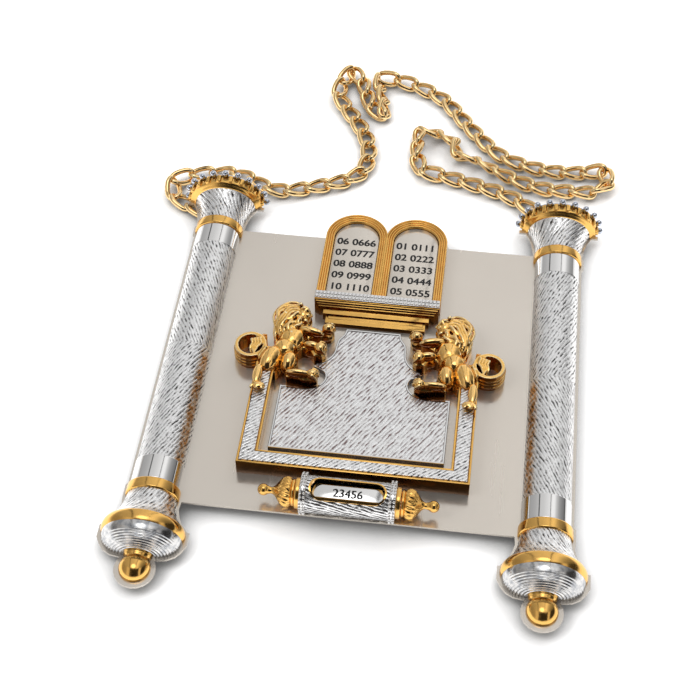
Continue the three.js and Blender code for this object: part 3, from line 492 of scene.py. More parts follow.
def chased_stave(name, bands=()):
    """Strokes wrapped round a stave; bands are (low, high) places in y that stay polished."""
    material, tree, shader = new_material(name, SILVER, 1.0, 0.2)
    place, x, y, z = object_axes(tree)
    side = sums(tree, "SUBTRACT", sums(tree, "ABSOLUTE", x), STAVE_X)
    height = sums(tree, "SUBTRACT", z, FACE)
    turn = sums(tree, "ARCTAN2", side, height)
    up = sums(tree, "SUBTRACT", y, MID_Y)
    flipped = times(tree, turn, SHAFT_RADIUS, sums(tree, "SIGN", up))
    along, across = turned_axes(tree, flipped, up, math.radians(58))
    strokes = stroke_height(tree, along, across, 9 * MM, 1.9 * MM)
    mask = None
    for low, high in bands:
        above = sums(tree, "GREATER_THAN", y, low)
        inside = times(tree, above, sums(tree, "LESS_THAN", y, high))
        outside = sums(tree, "SUBTRACT", 1.0, inside)
        mask = outside if mask is None else times(tree, mask, outside)
    # Where the painted reflection of the gold frame lies: the inner flank of the lower half, in patches.
    flank = ramp(tree, times(tree, turn, -0.5),
                 [(0.36, grey(0)), (0.46, grey(1)), (0.6, grey(1)), (0.68, grey(0))])
    lower_half = ramp(tree, times(tree, up, -50.0), [(0, grey(0)), (0.3, grey(1))])
    patchy = ramp(tree, noise_value(tree, place, 420, 2), [(0.4, grey(0.15)), (0.58, grey(1))])
    chase(tree, shader, strokes, mask, frame_reflection=times(tree, flank, lower_half, patchy))
    return material


def chased_flat(name, angle, length, width, hollow=OXIDE):
    """Strokes of one length and width across a flat face, at an angle to +X."""
    material, tree, shader = new_material(name, SILVER, 1.0, 0.2)
    _, x, y, _ = object_axes(tree)
    along, across = turned_axes(tree, x, y, angle)
    chase(tree, shader, stroke_height(tree, along, across, length, width), hollow=hollow)
    return material


def turned_silver(name):
    """Silver with cloudy grey polish left on it, for the dish, whose grooves are in its shape."""
    material, tree, shader = new_material(name, SILVER, 1.0, 0.16)
    place, _, _, _ = object_axes(tree)
    cloud = noise_value(tree, place, 350, 3)
    tint = ramp(tree, cloud, [(0.35, (0.40, 0.41, 0.43)), (0.6, (0.70, 0.69, 0.68))])
    tree.links.new(tint, shader.inputs["Base Color"])
    bump(tree, shader, cloud, 0.3, 0.1 * MM)
    return material


polished_silver = mirror_silver("polished_silver")
sheet_silver = mirror_silver("sheet_silver", SHEET_SILVER, 0.16, 0.72)
BAND_NEAR, BAND_FAR = 73 * MM, 90 * MM
polished_bands = [(MID_Y + BAND_NEAR, MID_Y + BAND_FAR), (MID_Y - BAND_FAR, MID_Y - BAND_NEAR)]
stave_silver = chased_stave("stave_silver", polished_bands)
flare_silver = chased_stave("flare_silver")
panel_silver = chased_flat("panel_silver", math.radians(56), 12 * MM, 1.8 * MM, ROSE)
border_silver = chased_flat("border_silver", math.radians(38), 7 * MM, 1.6 * MM)
dish_silver = turned_silver("dish_silver")
bead_silver = mirror_silver("bead_silver", (0.60, 0.64, 0.72), 0.12)
# Dark silver for the panel's walls: painted shade.
painted_shade_silver = mirror_silver("painted_shade_silver", (0.10, 0.09, 0.09), 0.25)


def black_fill():
    material, tree, shader = new_material("black_fill", (0.006, 0.006, 0.007), 0.0, 0.6)
    place, _, _, _ = object_axes(tree)
    bump(tree, shader, noise_value(tree, place, 1500, 2), 0.3, 0.05 * MM)
    return material


number_black = black_fill()
print("finishes:", len(bpy.data.materials))

# %% [markdown]
# ## How a piece is finished
# Each piece is one mesh in metres at the origin. The bmesh is closed, its faces are turned outwards,
# and the edges sharper than an angle stay crisp while the rest is shaded smooth. The piece then rides
# on its body, takes its material, and stands in for its solid.

# %% Piece helpers
FLAT_AREA = 15 * MM ** 2


def piece(name, bm, material, nodes=(), body=BODY, sharp=38, flat=False):
    """Makes the object; with flat, its large faces keep their plane and only the small ones are smooth.

    A copy of a solid brings its old corner normals along, which no longer fit, so they are dropped.
    """
    bmesh.ops.recalc_face_normals(bm, faces=bm.faces)
    for face in bm.faces:
        face.smooth = not (flat and face.calc_area() > FLAT_AREA)
    mesh = bpy.data.meshes.new(name)
    bm.to_mesh(mesh)
    bm.free()
    if "custom_normal" in mesh.attributes:
        mesh.attributes.remove(mesh.attributes["custom_normal"])
    mesh.set_sharp_from_angle(angle=math.radians(sharp))
    made = bpy.data.objects.new(name, mesh)
    mesh.materials.append(material)
    collection.objects.link(made)
    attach(made, body)
    if nodes:
        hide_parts(*nodes)
    return made


def softened(node_name, width, segments=2, angle=30):
    """A copy of a solid's mesh with its flat faces joined and its sharp edges rounded, or not for 0."""
    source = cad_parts[node_name]
    bm = bmesh.new()
    bm.from_mesh(source.data)
    bmesh.ops.remove_doubles(bm, verts=bm.verts, dist=0.005 * MM)
    bmesh.ops.dissolve_limit(bm, angle_limit=math.radians(1), verts=bm.verts, edges=bm.edges)
    if not width:
        return bm
    sharp = [e for e in bm.edges if e.is_manifold and e.calc_face_angle() > math.radians(angle)]
    bmesh.ops.bevel(bm, geom=sharp, offset=width, segments=segments, profile=0.5, affect="EDGES",
                    material=-1, clamp_overlap=True)
    return bm


HALF_TURN_STEPS = 64


def line(bm, points, closed=False):
    """A line through the points; returns its points and its edges."""
    verts = [bm.verts.new(point) for point in points]
    ends = verts[1:] + verts[:1] if closed else verts[1:]
    return verts, [bm.edges.new(pair) for pair in zip(verts, ends)]


def half_turn(bm, profile, closed=False):
    """Spins a line of (radius, y) places half a turn round Y."""
    verts, edges = line(bm, [(radius, y, 0) for radius, y in profile], closed)
    bmesh.ops.spin(bm, geom=verts + edges, cent=(0, 0, 0), axis=(0, -1, 0), angle=math.pi,
                   steps=HALF_TURN_STEPS)


def raised(bm, face, height):
    """Extrudes a face upwards and returns the new face on top."""
    made = bmesh.ops.extrude_face_region(bm, geom=[face])["geom"]
    bmesh.ops.translate(bm, vec=(0, 0, height),
                        verts=[v for v in made if isinstance(v, bmesh.types.BMVert)])
    return next(f for f in made if isinstance(f, bmesh.types.BMFace))


def set_on_sheet(bm, centre_x):
    """Flattens a half-round body to the rise of the staves and stands it on the sheet."""
    bmesh.ops.scale(bm, vec=(1, 1, RISE), verts=bm.verts)
    bmesh.ops.translate(bm, vec=(centre_x, 0, FACE), verts=bm.verts)
    return bm


def turned_half(profile, centre_x):
    """A half-round body on the sheet: a profile of (radius, y) spun half a turn and flattened."""
    bm = bmesh.new()
    half_turn(bm, profile)
    bmesh.ops.remove_doubles(bm, verts=bm.verts, dist=0.002 * MM)
    open_edges = [e for e in bm.edges if e.is_boundary]
    bmesh.ops.contextual_create(bm, geom=open_edges)
    return set_on_sheet(bm, centre_x)


def arc(centre_radius, centre_y, size, start, end, steps):
    """Points of a round stretch of a profile, angles in degrees from straight out."""
    points = []
    for i in range(steps + 1):
        turn = math.radians(start + (end - start) * i / steps)
        points.append((centre_radius + size * math.cos(turn), centre_y + size * math.sin(turn)))
    return points


print("solids to dress:", len(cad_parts))

# %% [markdown]
# ## Staves
# Each stave is a row of half-round pieces on one axis. Their profiles are turned from the sizes of the
# solids: the shaft with its two polished bands, the collars, the flare of the crown, and the bell, band,
# dish and ball of the foot.

# %% Stave profiles
BAND = 13.7 * MM
BAND_STEP = 0.35 * MM
BAND_SHOULDER = 1.4 * MM


def half_width(low, high):
    return (high.x - low.x) / 2


def shaft_profile(low, high):
    """The shaft; rings close to each step keep the light on the long stretches straight."""
    radius = SHAFT_RADIUS
    inner = radius - BAND_STEP
    end = [(0, 0), (radius - 0.3 * MM, 0), (radius, 0.3 * MM), (radius, 0.5 * MM),
           (radius, BAND - 0.4 * MM), (radius, BAND - 0.2 * MM),
           (inner, BAND + 0.3 * MM), (inner, BAND + 0.5 * MM)]
    return [(r, low.y + along) for r, along in end] + [(r, high.y - along) for r, along in reversed(end)]


def collar_profile(low, high):
    """A flat ring with round edges."""
    radius = half_width(low, high)
    y0, y1 = low.y, high.y
    edge = 0.9 * MM
    return ([(0, y0), (radius - edge - 0.3 * MM, y0)] + arc(radius - edge, y0 + edge, edge, -90, 0, 5)
            + arc(radius - edge, y1 - edge, edge, 0, 90, 5) + [(radius - edge - 0.3 * MM, y1), (0, y1)])


def flare_profile(low, high, waist_share, steps=18):
    """The curve that the solid follows: slow at first, fastest at the mouth."""
    mouth = half_width(low, high)
    upward = low.y > MID_Y
    start, end = (low.y, high.y) if upward else (high.y, low.y)
    points = [(0, start)]
    for i in range(steps + 1):
        share = i / steps
        grown = waist_share * share + (1 - waist_share) * share ** 3
        points.append((SHAFT_RADIUS + (mouth - SHAFT_RADIUS) * grown, start + (end - start) * share))
    return points + [(0, end)]


def band_profile(low, high):
    """A ring with a full, round face."""
    radius = half_width(low, high)
    shoulder = radius - BAND_SHOULDER
    bulge = (high.y - low.y) * 0.9
    reach = math.degrees(math.asin((high.y - low.y) / 2 / bulge))
    face = arc(radius - bulge, (low.y + high.y) / 2, bulge, -reach, reach, 12)
    return [(0, low.y), (shoulder, low.y)] + face + [(shoulder, high.y), (0, high.y)]


DISH_STEPS = 90
DISH_NECK = 8 * MM
GROOVE_DEPTH = 0.16 * MM
GROOVES_PER_TURN = 46
POLISHED_TURN = 0.42


def dish_profile(low, high):
    """A round bowl: a polished strip next to the band, then fine grooves round the neck."""
    mouth = half_width(low, high)
    depth = high.y - low.y
    points = [(0, high.y), (mouth, high.y)]
    for i in range(1, DISH_STEPS + 1):
        turn = math.pi / 2 * i / DISH_STEPS
        groove = GROOVE_DEPTH * math.sin(turn * GROOVES_PER_TURN) if turn > POLISHED_TURN else 0
        points.append((DISH_NECK + (mouth - DISH_NECK) * math.cos(turn) + groove * math.cos(turn),
                       high.y - depth * math.sin(turn) - groove * math.sin(turn)))
    return points + [(0, low.y)]


BALL = 7.6 * MM
BALL_NECK = 6.1 * MM


def ball_profile(low, high):
    """A ball on a short neck that is narrower than the ball."""
    waist = math.degrees(math.acos(BALL_NECK / BALL))
    points = [(0, low.y)] + arc(0, low.y + BALL, BALL, -90, waist, 26)[1:]
    return points + [(BALL_NECK, high.y - 1.4 * MM), (BALL_NECK + 0.5 * MM, high.y - 0.9 * MM),
                     (BALL_NECK + 0.6 * MM, high.y), (0, high.y)]


STAVE_PIECES = [
    ("stave_shaft", shaft_profile, stave_silver, "chased_silver"),
    ("upper_collar", collar_profile, gilt, "gilt"),
    ("lower_collar", collar_profile, gilt, "gilt"),
    ("crown_flare", lambda low, high: flare_profile(low, high, 0.34), flare_silver, "chased_silver"),
    ("bell", lambda low, high: flare_profile(low, high, 0.3), flare_silver, "chased_silver"),
    ("bell_band", band_profile, gilt, "gilt"),
    ("dish", dish_profile, dish_silver, "chased_silver"),
    ("finial", ball_profile, gilt, "gilt"),
]
print("kinds of stave piece:", len(STAVE_PIECES))

# %% Stave pieces
SIDES = (("left", -1), ("right", 1))
for side, sign in SIDES:
    for kind, profile, material, slot in STAVE_PIECES:
        solid_name = f"{kind}_{side}"
        low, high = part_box(solid_name)
        made = turned_half(profile(low, high), sign * STAVE_X)
        piece(f"{solid_name}_fine", made, material, [solid_name], sharp=50)
print("stave pieces:", 2 * len(STAVE_PIECES))

# %% [markdown]
# ## Crown rim and its beads
# The gold rim opens in a cove to a lip, and small lugs stand on the lip between the silver beads. The
# top of the rim is a shallow recess. The beads are balls on a thin half ring. A cut into the rim would
# leave the same notches, but added lugs keep the turned rim smooth.

# %% Crown
BEAD_COUNT = 11
BEAD_RADIUS = 1.85 * MM
BEAD_RING = 22.9 * MM
LUG_WIDTH = 2.6 * MM
LUG_REACH = 1.3 * MM
RIM_RADIUS = 20.8 * MM
RIM_COVE = 1.6 * MM
RIM_LIP = RIM_RADIUS - 3.9 * MM
FLARE_MOUTH = 17.3 * MM


def rim_profile(y0, y1):
    """A cove, a rounded lip, and the shallow recess in the top."""
    cove = [(FLARE_MOUTH + 0.2 * MM, y0), (FLARE_MOUTH + 0.9 * MM, y0 + 0.5 * MM),
            (RIM_RADIUS - 1.5 * MM, y0 + RIM_COVE * 0.75), (RIM_RADIUS - 0.35 * MM, y0 + RIM_COVE)]
    return ([(0, y0)] + cove + arc(RIM_RADIUS - 0.4 * MM, y0 + RIM_COVE + 0.5 * MM, 0.4 * MM, -70, 0, 4)
            + arc(RIM_RADIUS - 0.5 * MM, y1 - 0.5 * MM, 0.5 * MM, 0, 90, 4)
            + [(RIM_LIP, y1), (RIM_LIP - 1.2 * MM, y1 - 1 * MM), (0, y1 - 1 * MM)])


def block_mesh(size, round_edges):
    """A small block with rounded edges, round the origin."""
    bm = bmesh.new()
    bmesh.ops.create_cube(bm, size=1)
    bmesh.ops.scale(bm, vec=size, verts=bm.verts)
    bmesh.ops.bevel(bm, geom=bm.edges[:], offset=round_edges, segments=2, profile=0.5, affect="EDGES",
                    material=-1, clamp_overlap=True)
    return made_mesh(bm, "block")


def ball_mesh(radius, around=16, up=10):
    """A small ball round the origin."""
    bm = bmesh.new()
    bmesh.ops.create_uvsphere(bm, u_segments=around, v_segments=up, radius=radius)
    return made_mesh(bm, "ball")


def add_crown_rim(side, sign):
    """The gold rim of one crown, with a lug between each two beads."""
    low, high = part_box(f"crown_rim_{side}")
    made = turned_half(rim_profile(low.y, high.y), sign * STAVE_X)
    lug = block_mesh((LUG_REACH + 1.4 * MM, high.y - low.y - RIM_COVE, LUG_WIDTH), 0.5 * MM)
    reach = RIM_RADIUS + LUG_REACH / 2 - 0.7 * MM
    for i in range(BEAD_COUNT - 1):
        angle = math.pi * (i + 0.5) / (BEAD_COUNT - 1)
        centre = Vector((sign * STAVE_X + reach * math.cos(angle), (low.y + RIM_COVE + high.y) / 2,
                         FACE + (reach - (1 - RISE) * RIM_RADIUS) * math.sin(angle)))
        add_copy(made, lug, Matrix.Translation(centre) @ Matrix.Rotation(-angle, 4, "Y"))
    piece(f"crown_rim_{side}_fine", made, gilt, [f"crown_rim_{side}"], sharp=50)


print("lugs on each rim:", BEAD_COUNT - 1)

# %% Crown beads
STRIP_HALF = 0.45 * MM
STRIP_EDGE = 0.2 * MM
STRIP_OUTER = BEAD_RING - BEAD_RADIUS + 0.7 * MM
NO_HEIGHT = 1e-7


def bead_strip(middle_y):
    """The thin half ring that carries the beads, closed at both of its ends."""
    bm = bmesh.new()
    section = [(RIM_LIP, middle_y - STRIP_HALF), (STRIP_OUTER - STRIP_EDGE, middle_y - STRIP_HALF),
               (STRIP_OUTER, middle_y), (STRIP_OUTER - STRIP_EDGE, middle_y + STRIP_HALF),
               (RIM_LIP, middle_y + STRIP_HALF)]
    half_turn(bm, section, closed=True)
    for end in (1, -1):
        rim = {v for v in bm.verts if abs(v.co.z) < NO_HEIGHT and v.co.x * end > 0}
        bmesh.ops.contextual_create(bm, geom=[e for e in bm.edges if rim.issuperset(e.verts)])
    return bm


def add_crown_beads(side, sign):
    """The silver balls of one crown on their strip."""
    low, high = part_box(f"crown_beads_{side}")
    bead_y = (low.y + high.y) / 2
    made = set_on_sheet(bead_strip(bead_y), sign * STAVE_X)
    for i in range(BEAD_COUNT):
        angle = math.pi * i / (BEAD_COUNT - 1)
        across = sign * STAVE_X + BEAD_RING * math.cos(angle)
        height = FACE + BEAD_RING * RISE * math.sin(angle)
        add_copy(made, bead, Matrix.Translation((across, bead_y, height)))
    piece(f"crown_beads_{side}_fine", made, bead_silver, [f"crown_beads_{side}"],
          sharp=50)


bead = ball_mesh(BEAD_RADIUS)
for side, sign in SIDES:
    add_crown_rim(side, sign)
    add_crown_beads(side, sign)
print("beads on each crown:", BEAD_COUNT)

# %% [markdown]
# ## Flat pieces
# The sheet, the frame's tray and border, the cornice, the caps, the bar with its axle, the eyes and the
# studs have the right shape in their solids. A copy of each gets its flat faces joined and, but for the
# sheet, its edges rounded, because a real edge is never knife sharp and the thin round catches the light.

# %% Flat pieces
STUDS = [(name, 0.2, polished_silver, "polished_silver", BODY)
         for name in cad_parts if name.startswith("back_stud")]
FLAT_PIECES = [
    ("back_plate", 0, sheet_silver, "polished_silver", BODY),
    ("frame_tray", 0.3, tray_gold, "gilt", BODY),
    ("frame_border", 0.12, border_silver, "chased_silver", BODY),
    ("cornice", 0.22, cornice_gold, "gilt", BODY),
    ("holder_cap_left", 0.3, gilt, "gilt", BODY),
    ("holder_cap_right", 0.3, gilt, "gilt", BODY),
    ("name_drum", 0.25, polished_silver, "polished_silver", BAR),
    ("drum_axle", 0.2, polished_silver, "polished_silver", BAR),
    ("chain_eye_left", 0.1, polished_silver, "polished_silver", BODY),
    ("chain_eye_right", 0.1, polished_silver, "polished_silver", BODY),
]
for name, width, material, slot, body in FLAT_PIECES + STUDS:
    piece(f"{name}_fine", softened(name, width * MM), material, [name], body, flat=True)
print("flat pieces:", len(FLAT_PIECES), "and studs:", len(STUDS))

# %% [markdown]
# ## Centre panel
# The panel is sheet silver raised a few millimetres, with two round bites at each side where the lions'
# paws rest. Its outline is drawn as a face and extruded, and three insets of the top make the rounded
# edge, the bright rim and the sunk field. The field is covered with strokes, and its walls carry painted
# shade.

# %% Centre panel
UPPER_BITE = [(14.4, 24.0), (15.3, 20.2), (17.7, 16.4), (18.4, 12.2), (19.0, 7.2), (21.5, 2.9),
              (25.0, 0.4), (28.0, -0.5)]
LOWER_BITE = [(28.0, -3.1), (25.0, -4.4), (22.2, -6.6), (21.4, -10.2), (23.1, -14.1), (27.2, -16.8),
              (32.6, -17.7), (43.8, -17.3)]
PANEL_CORNER = (43.8, -57)
PANEL_INSETS = [(0.2, 0.2), (0.7, 0), (0.2, -0.35)]
BITE_STEPS = 28


def on_sheet(point):
    """A place on the sheet, given in millimetres from the middle of the shield."""
    return Vector((point[0] * MM, point[1] * MM + MID_Y, FACE))


def bitten(points):
    """A smooth edge through a few points."""
    places = [on_sheet(point) for point in points]
    return [curve_point(places, i / BITE_STEPS) for i in range(BITE_STEPS + 1)]


panel_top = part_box("centre_panel")[1].z
right_edge = bitten(UPPER_BITE) + bitten(LOWER_BITE) + [on_sheet(PANEL_CORNER)]
left_edge = [Vector((-place.x, place.y, place.z)) for place in reversed(right_edge)]
bm = bmesh.new()
base = bm.faces.new([bm.verts.new(place) for place in right_edge + left_edge])
field = raised(bm, base, panel_top - PANEL_INSETS[0][1] * MM - FACE)
bmesh.ops.recalc_face_normals(bm, faces=bm.faces)
for width, lift in PANEL_INSETS:
    bmesh.ops.inset_region(bm, faces=[field], thickness=width * MM, depth=lift * MM,
                           use_even_offset=True)
centre_panel = piece("centre_panel_fine", bm, polished_silver, ["centre_panel"],
                     flat=True)
centre_panel.data.materials.append(panel_silver)
centre_panel.data.materials.append(painted_shade_silver)
field_height = panel_top + PANEL_INSETS[2][1] * MM
for polygon in centre_panel.data.polygons:
    if polygon.normal.z > 0.99 and abs(polygon.center.z - field_height) < 0.02 * MM:
        polygon.material_index = 1
    # The panel's walls take the painted shade.
    elif polygon.normal.z < 0.8 and polygon.center.z < panel_top - 0.15 * MM:
        polygon.material_index = 2
print("panel faces:", len(centre_panel.data.polygons))

# %% [markdown]
# ## Cornice beading
# A double row of small beads runs along the strip on top of the cornice. Balls would look too loose, so
# each bead is one low block, and the row has the crisp notches of a rolled beading.

# %% Cornice beading
BEADS_PER_ROW = 34
ROW_OFFSET = 1.2 * MM
STRIP_HEIGHT = 0.8 * MM
BEAD_LEVEL = 0.95 * MM
low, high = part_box("cornice_beading")
middle_y = (low.y + high.y) / 2
bm = bmesh.new()
strip = block_mesh((high.x - low.x, high.y - low.y, STRIP_HEIGHT), 0.15 * MM)
add_copy(bm, strip, Matrix.Translation((0, middle_y, low.z + STRIP_HEIGHT / 2)))
bead_pitch = (high.x - low.x) / BEADS_PER_ROW
bead = block_mesh((bead_pitch * 0.82, 1.8 * MM, 1.1 * MM), 0.3 * MM)
for row in (-1, 1):
    for i in range(BEADS_PER_ROW):
        across = low.x + bead_pitch * (i + 0.5)
        centre = (across, middle_y + row * ROW_OFFSET, low.z + BEAD_LEVEL)
        add_copy(bm, bead, Matrix.Translation(centre))
piece("cornice_beading_fine", bm, polished_silver, ["cornice_beading"])
print("beads on the cornice:", 2 * BEADS_PER_ROW)

# %% [markdown]
# ## Tablets
# Each tablet is a reeded arch of gold round a recessed silver panel. One section of rounded reeds is
# carried round the arch: every loop of the section has the same points, and neighbours are bridged.

# %% Tablets
tablet_low, tablet_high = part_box("tablets_frame")
panel_low, panel_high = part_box("tablet_panel_right")
ARCH_CENTRE = (panel_low.x + panel_high.x) / 2
ARCH_OUTER = tablet_high.x - ARCH_CENTRE
ARCH_INNER = (panel_high.x - panel_low.x) / 2 + 0.3 * MM
SPRING = tablet_high.y - ARCH_OUTER
TOP = tablet_high.z
REED_COUNT = 4
REED_STEPS = 6
REED_RISE = 0.3 * MM
ARCH_STEPS = 40
FOOT_SPREAD = 1.6 * MM
PANEL_FACE = TOP - 2.6 * MM


def arch_loop(bm, centre_x, radius, height, foot):
    """One closed loop of edges: up one side, round the arch and down the other."""
    points = [(centre_x - radius, foot), (centre_x - radius, SPRING)]
    for i in range(1, ARCH_STEPS):
        turn = math.pi * i / ARCH_STEPS
        points.append((centre_x - radius * math.cos(turn), SPRING + radius * math.sin(turn)))
    points += [(centre_x + radius, SPRING), (centre_x + radius, foot)]
    return line(bm, [(x, y, height) for x, y in points], closed=True)[1]


def reed_section():
    """Radius and height of the border's section, from the inner wall to the outer one."""
    section = [(ARCH_INNER, FACE), (ARCH_INNER, TOP - 1.6 * MM)]
    reed = (ARCH_OUTER - ARCH_INNER) / REED_COUNT
    for k in range(REED_COUNT):
        crest = TOP - 1.2 * MM + REED_RISE * k
        for i in range(REED_STEPS + 1):
            turn = math.pi * i / REED_STEPS
            section.append((ARCH_INNER + reed * (k + 0.5 - 0.46 * math.cos(turn)),
                            crest + reed * 0.3 * math.sin(turn) - 0.1 * MM))
    return section + [(ARCH_OUTER, TOP - 0.6 * MM), (ARCH_OUTER, FACE)]


bm = bmesh.new()
for sign in (-1, 1):
    loops = []
    for radius, height in reed_section():
        foot = tablet_low.y + FOOT_SPREAD * (ARCH_OUTER - radius) / (ARCH_OUTER - ARCH_INNER)
        loops.append(arch_loop(bm, sign * ARCH_CENTRE, radius, min(height, TOP), foot))
    for inner, outer in zip(loops, loops[1:] + loops[:1]):
        bmesh.ops.bridge_loops(bm, edges=inner + outer)
piece("tablets_frame_fine", bm, gilt, ["tablets_frame"], sharp=45)

panel_middle = (panel_low.z + panel_high.z) / 2
for side, _ in SIDES:
    bm = softened(f"tablet_panel_{side}", 0.15 * MM)
    for vert in bm.verts:
        if vert.co.z > panel_middle:
            vert.co.z += PANEL_FACE - panel_high.z
    piece(f"tablet_panel_{side}_fine", bm, sheet_silver, [f"tablet_panel_{side}"],
          flat=True)
print("reeds on each arch:", REED_COUNT)

# %% [markdown]
# ## Numbers
# Each tablet carries five rows: a count from 01 to 10, and 111 times as much beside it. A row is a text
# curve, made a mesh before it is placed, and it lies just proud of its panel like black enamel. Three
# copies a little apart make it bolder, because an offset of the text curve breaks some of its shapes.

# %% Numbers
BOLD = 0.19 * MM


def number_mesh(text, size, depth):
    """A number as a mesh, with its middle at the origin."""
    curve = bpy.data.curves.new("number", "FONT")
    curve.body = text
    curve.size = size
    curve.extrude = depth
    curve.align_x = "CENTER"
    curve.align_y = "CENTER"
    holder = bpy.data.objects.new("number", curve)
    mesh = bpy.data.meshes.new_from_object(holder)
    bpy.data.objects.remove(holder)
    return mesh


def add_bold(bm, digits, place):
    for shift in (-BOLD, 0, BOLD):
        add_copy(bm, digits, place @ Matrix.Translation((shift, shift / 3, shift / 30)))


ROWS = 5
FIRST_ROW = SPRING - 2.4 * MM
ROW_PITCH = 8.5 * MM
NUMBER_SIZE = 6.6 * MM
for side, sign in SIDES:
    bm = bmesh.new()
    for row in range(ROWS):
        first = row + 1 + (ROWS if side == "left" else 0)
        digits = number_mesh(f"{first:02d} {first * 111:04d}", NUMBER_SIZE, 0.1 * MM)
        centre = (sign * ARCH_CENTRE, FIRST_ROW - ROW_PITCH * row, PANEL_FACE + 0.05 * MM)
        add_bold(bm, digits, Matrix.Translation(centre))
    piece(f"tablet_numbers_{side}", bm, number_black, sharp=30)
print("rows of numbers:", 2 * ROWS)

# %% [markdown]
# ## Name-plate holder
# A tube that opens on the sheet holds the name bar, with a long window that faces up and towards the
# foot. A section of its wall is spun round the axis. The window is a long rounded prism, taken out with
# a Boolean, because no single operator cuts a round-ended slot in a curved wall. The gold bezel is the
# part of a slightly thicker tube that lies between two such prisms.

# %% Holder barrel
barrel_low, barrel_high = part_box("holder_barrel")
AXIS_Y = (barrel_low.y + barrel_high.y) / 2
drum_low, drum_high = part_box("drum_axle")
AXIS_Z = (drum_low.z + drum_high.z) / 2
BARREL_RADIUS = barrel_high.z - AXIS_Z
BARREL_WALL = 1 * MM
BARREL_HALF = barrel_high.x
WINDOW_LENGTH = 2 * (BARREL_HALF - 2 * MM)
WINDOW_WIDTH = 10 * MM
WINDOW_TILT = math.radians(12)
WINDOW_STEPS = 20
BEZEL = 0.8 * MM
BEZEL_OUT, BEZEL_IN = 0.8 * MM, 1.3 * MM
BEZEL_START = math.radians(60)


def window_prism(border, inner, outer):
    """A long rounded prism through the holder's wall, leaning towards the foot."""
    bm = bmesh.new()
    length, width = WINDOW_LENGTH + 2 * border, WINDOW_WIDTH + 2 * border
    straight = (length - width) / 2
    points = []
    for end in (1, -1):
        for i in range(WINDOW_STEPS + 1):
            turn = -math.pi / 2 + math.pi * i / WINDOW_STEPS + (math.pi if end < 0 else 0)
            points.append((end * straight + width / 2 * math.cos(turn), width / 2 * math.sin(turn)))
    face = bm.faces.new([bm.verts.new((x, y, inner)) for x, y in points])
    raised(bm, face, outer - inner)
    bmesh.ops.rotate(bm, cent=(0, 0, 0), matrix=Matrix.Rotation(WINDOW_TILT, 3, "X"), verts=bm.verts)
    bmesh.ops.translate(bm, vec=(0, AXIS_Y, AXIS_Z), verts=bm.verts)
    bmesh.ops.recalc_face_normals(bm, faces=bm.faces)
    return bm


TUBE_STEPS = 72


def open_tube(outer, inner, start):
    """A tube wall along X round the holder's axis, open below up to an angle from straight down."""
    bm = bmesh.new()
    corners = [(-BARREL_HALF, outer), (BARREL_HALF, outer), (BARREL_HALF, inner), (-BARREL_HALF, inner)]
    face = bm.faces.new([bm.verts.new((x, 0, -radius)) for x, radius in corners])
    bmesh.ops.rotate(bm, cent=(0, 0, 0), matrix=Matrix.Rotation(start, 3, "X"), verts=bm.verts)
    bmesh.ops.spin(bm, geom=[face], cent=(0, 0, 0), axis=(1, 0, 0), angle=2 * (math.pi - start),
                   steps=TUBE_STEPS)
    bmesh.ops.translate(bm, vec=(0, AXIS_Y, AXIS_Z), verts=bm.verts)
    bmesh.ops.recalc_face_normals(bm, faces=bm.faces)
    return bm


def as_object(bm, name):
    """A plain object for a modifier to work on."""
    mesh = bpy.data.meshes.new(name)
    bm.to_mesh(mesh)
    bm.free()
    made = bpy.data.objects.new(name, mesh)
    collection.objects.link(made)
    return made


def applied(made, *tools):
    """Ends an object and its modifiers' tools as a bmesh that has the modifiers in it."""
    mesh = bpy.data.meshes.new_from_object(made.evaluated_get(bpy.context.evaluated_depsgraph_get()))
    for used in (made, *tools):
        bpy.data.objects.remove(used)
    bm = bmesh.new()
    bm.from_mesh(mesh)
    return bm


def cut(body_bm, tool_bm, operation):
    """Cuts one mesh with another by the Boolean modifier, and returns the result as a bmesh."""
    body, tool = as_object(body_bm, "cut_body"), as_object(tool_bm, "cut_tool")
    modifier = body.modifiers.new("cut", "BOOLEAN")
    modifier.operation = operation
    modifier.solver = "EXACT"
    modifier.object = tool
    return applied(body, tool)


def chased_barrel(name):
    """Strokes that run along the barrel and climb it a little."""
    material, tree, shader = new_material(name, SILVER, 1.0, 0.2)
    _, x, y, z = object_axes(tree)
    turn = sums(tree, "ARCTAN2", sums(tree, "SUBTRACT", y, AXIS_Y), sums(tree, "SUBTRACT", z, AXIS_Z))
    along, across = turned_axes(tree, x, times(tree, turn, BARREL_RADIUS), math.radians(-14))
    chase(tree, shader, stroke_height(tree, along, across, 11 * MM, 1.7 * MM), dark=0.1)
    return material


barrel_silver = chased_barrel("barrel_silver")
PRISM_FOOT, PRISM_TOP = 1.5 * MM, 14 * MM
foot_angle = math.acos((AXIS_Z - FACE) / BARREL_RADIUS) + 0.002
tube = open_tube(BARREL_RADIUS, BARREL_RADIUS - BARREL_WALL, foot_angle)
barrel = cut(tube, window_prism(BEZEL, PRISM_FOOT, PRISM_TOP), "DIFFERENCE")
piece("holder_barrel_fine", barrel, barrel_silver, ["holder_barrel"])

ring = open_tube(BARREL_RADIUS + BEZEL_OUT, BARREL_RADIUS - BEZEL_IN, BEZEL_START)
ring = cut(ring, window_prism(BEZEL, PRISM_FOOT, PRISM_TOP), "INTERSECT")
ring = cut(ring, window_prism(0, 0, PRISM_TOP + 1 * MM), "DIFFERENCE")
piece("window_bezel_fine", ring, gilt, ["window_bezel"])
print("window:", round(WINDOW_LENGTH / MM, 1), "by", round(WINDOW_WIDTH / MM, 1), "mm")

# %% [markdown]
# ## Beaded rings and the name bar
# A ring of silver with two rows of beads closes the barrel at each end. The six-sided name bar turns
# inside, and each of its sides carries a plain number, made like the numbers on the tablets. They ride
# on the bar's body, so that they turn with it.

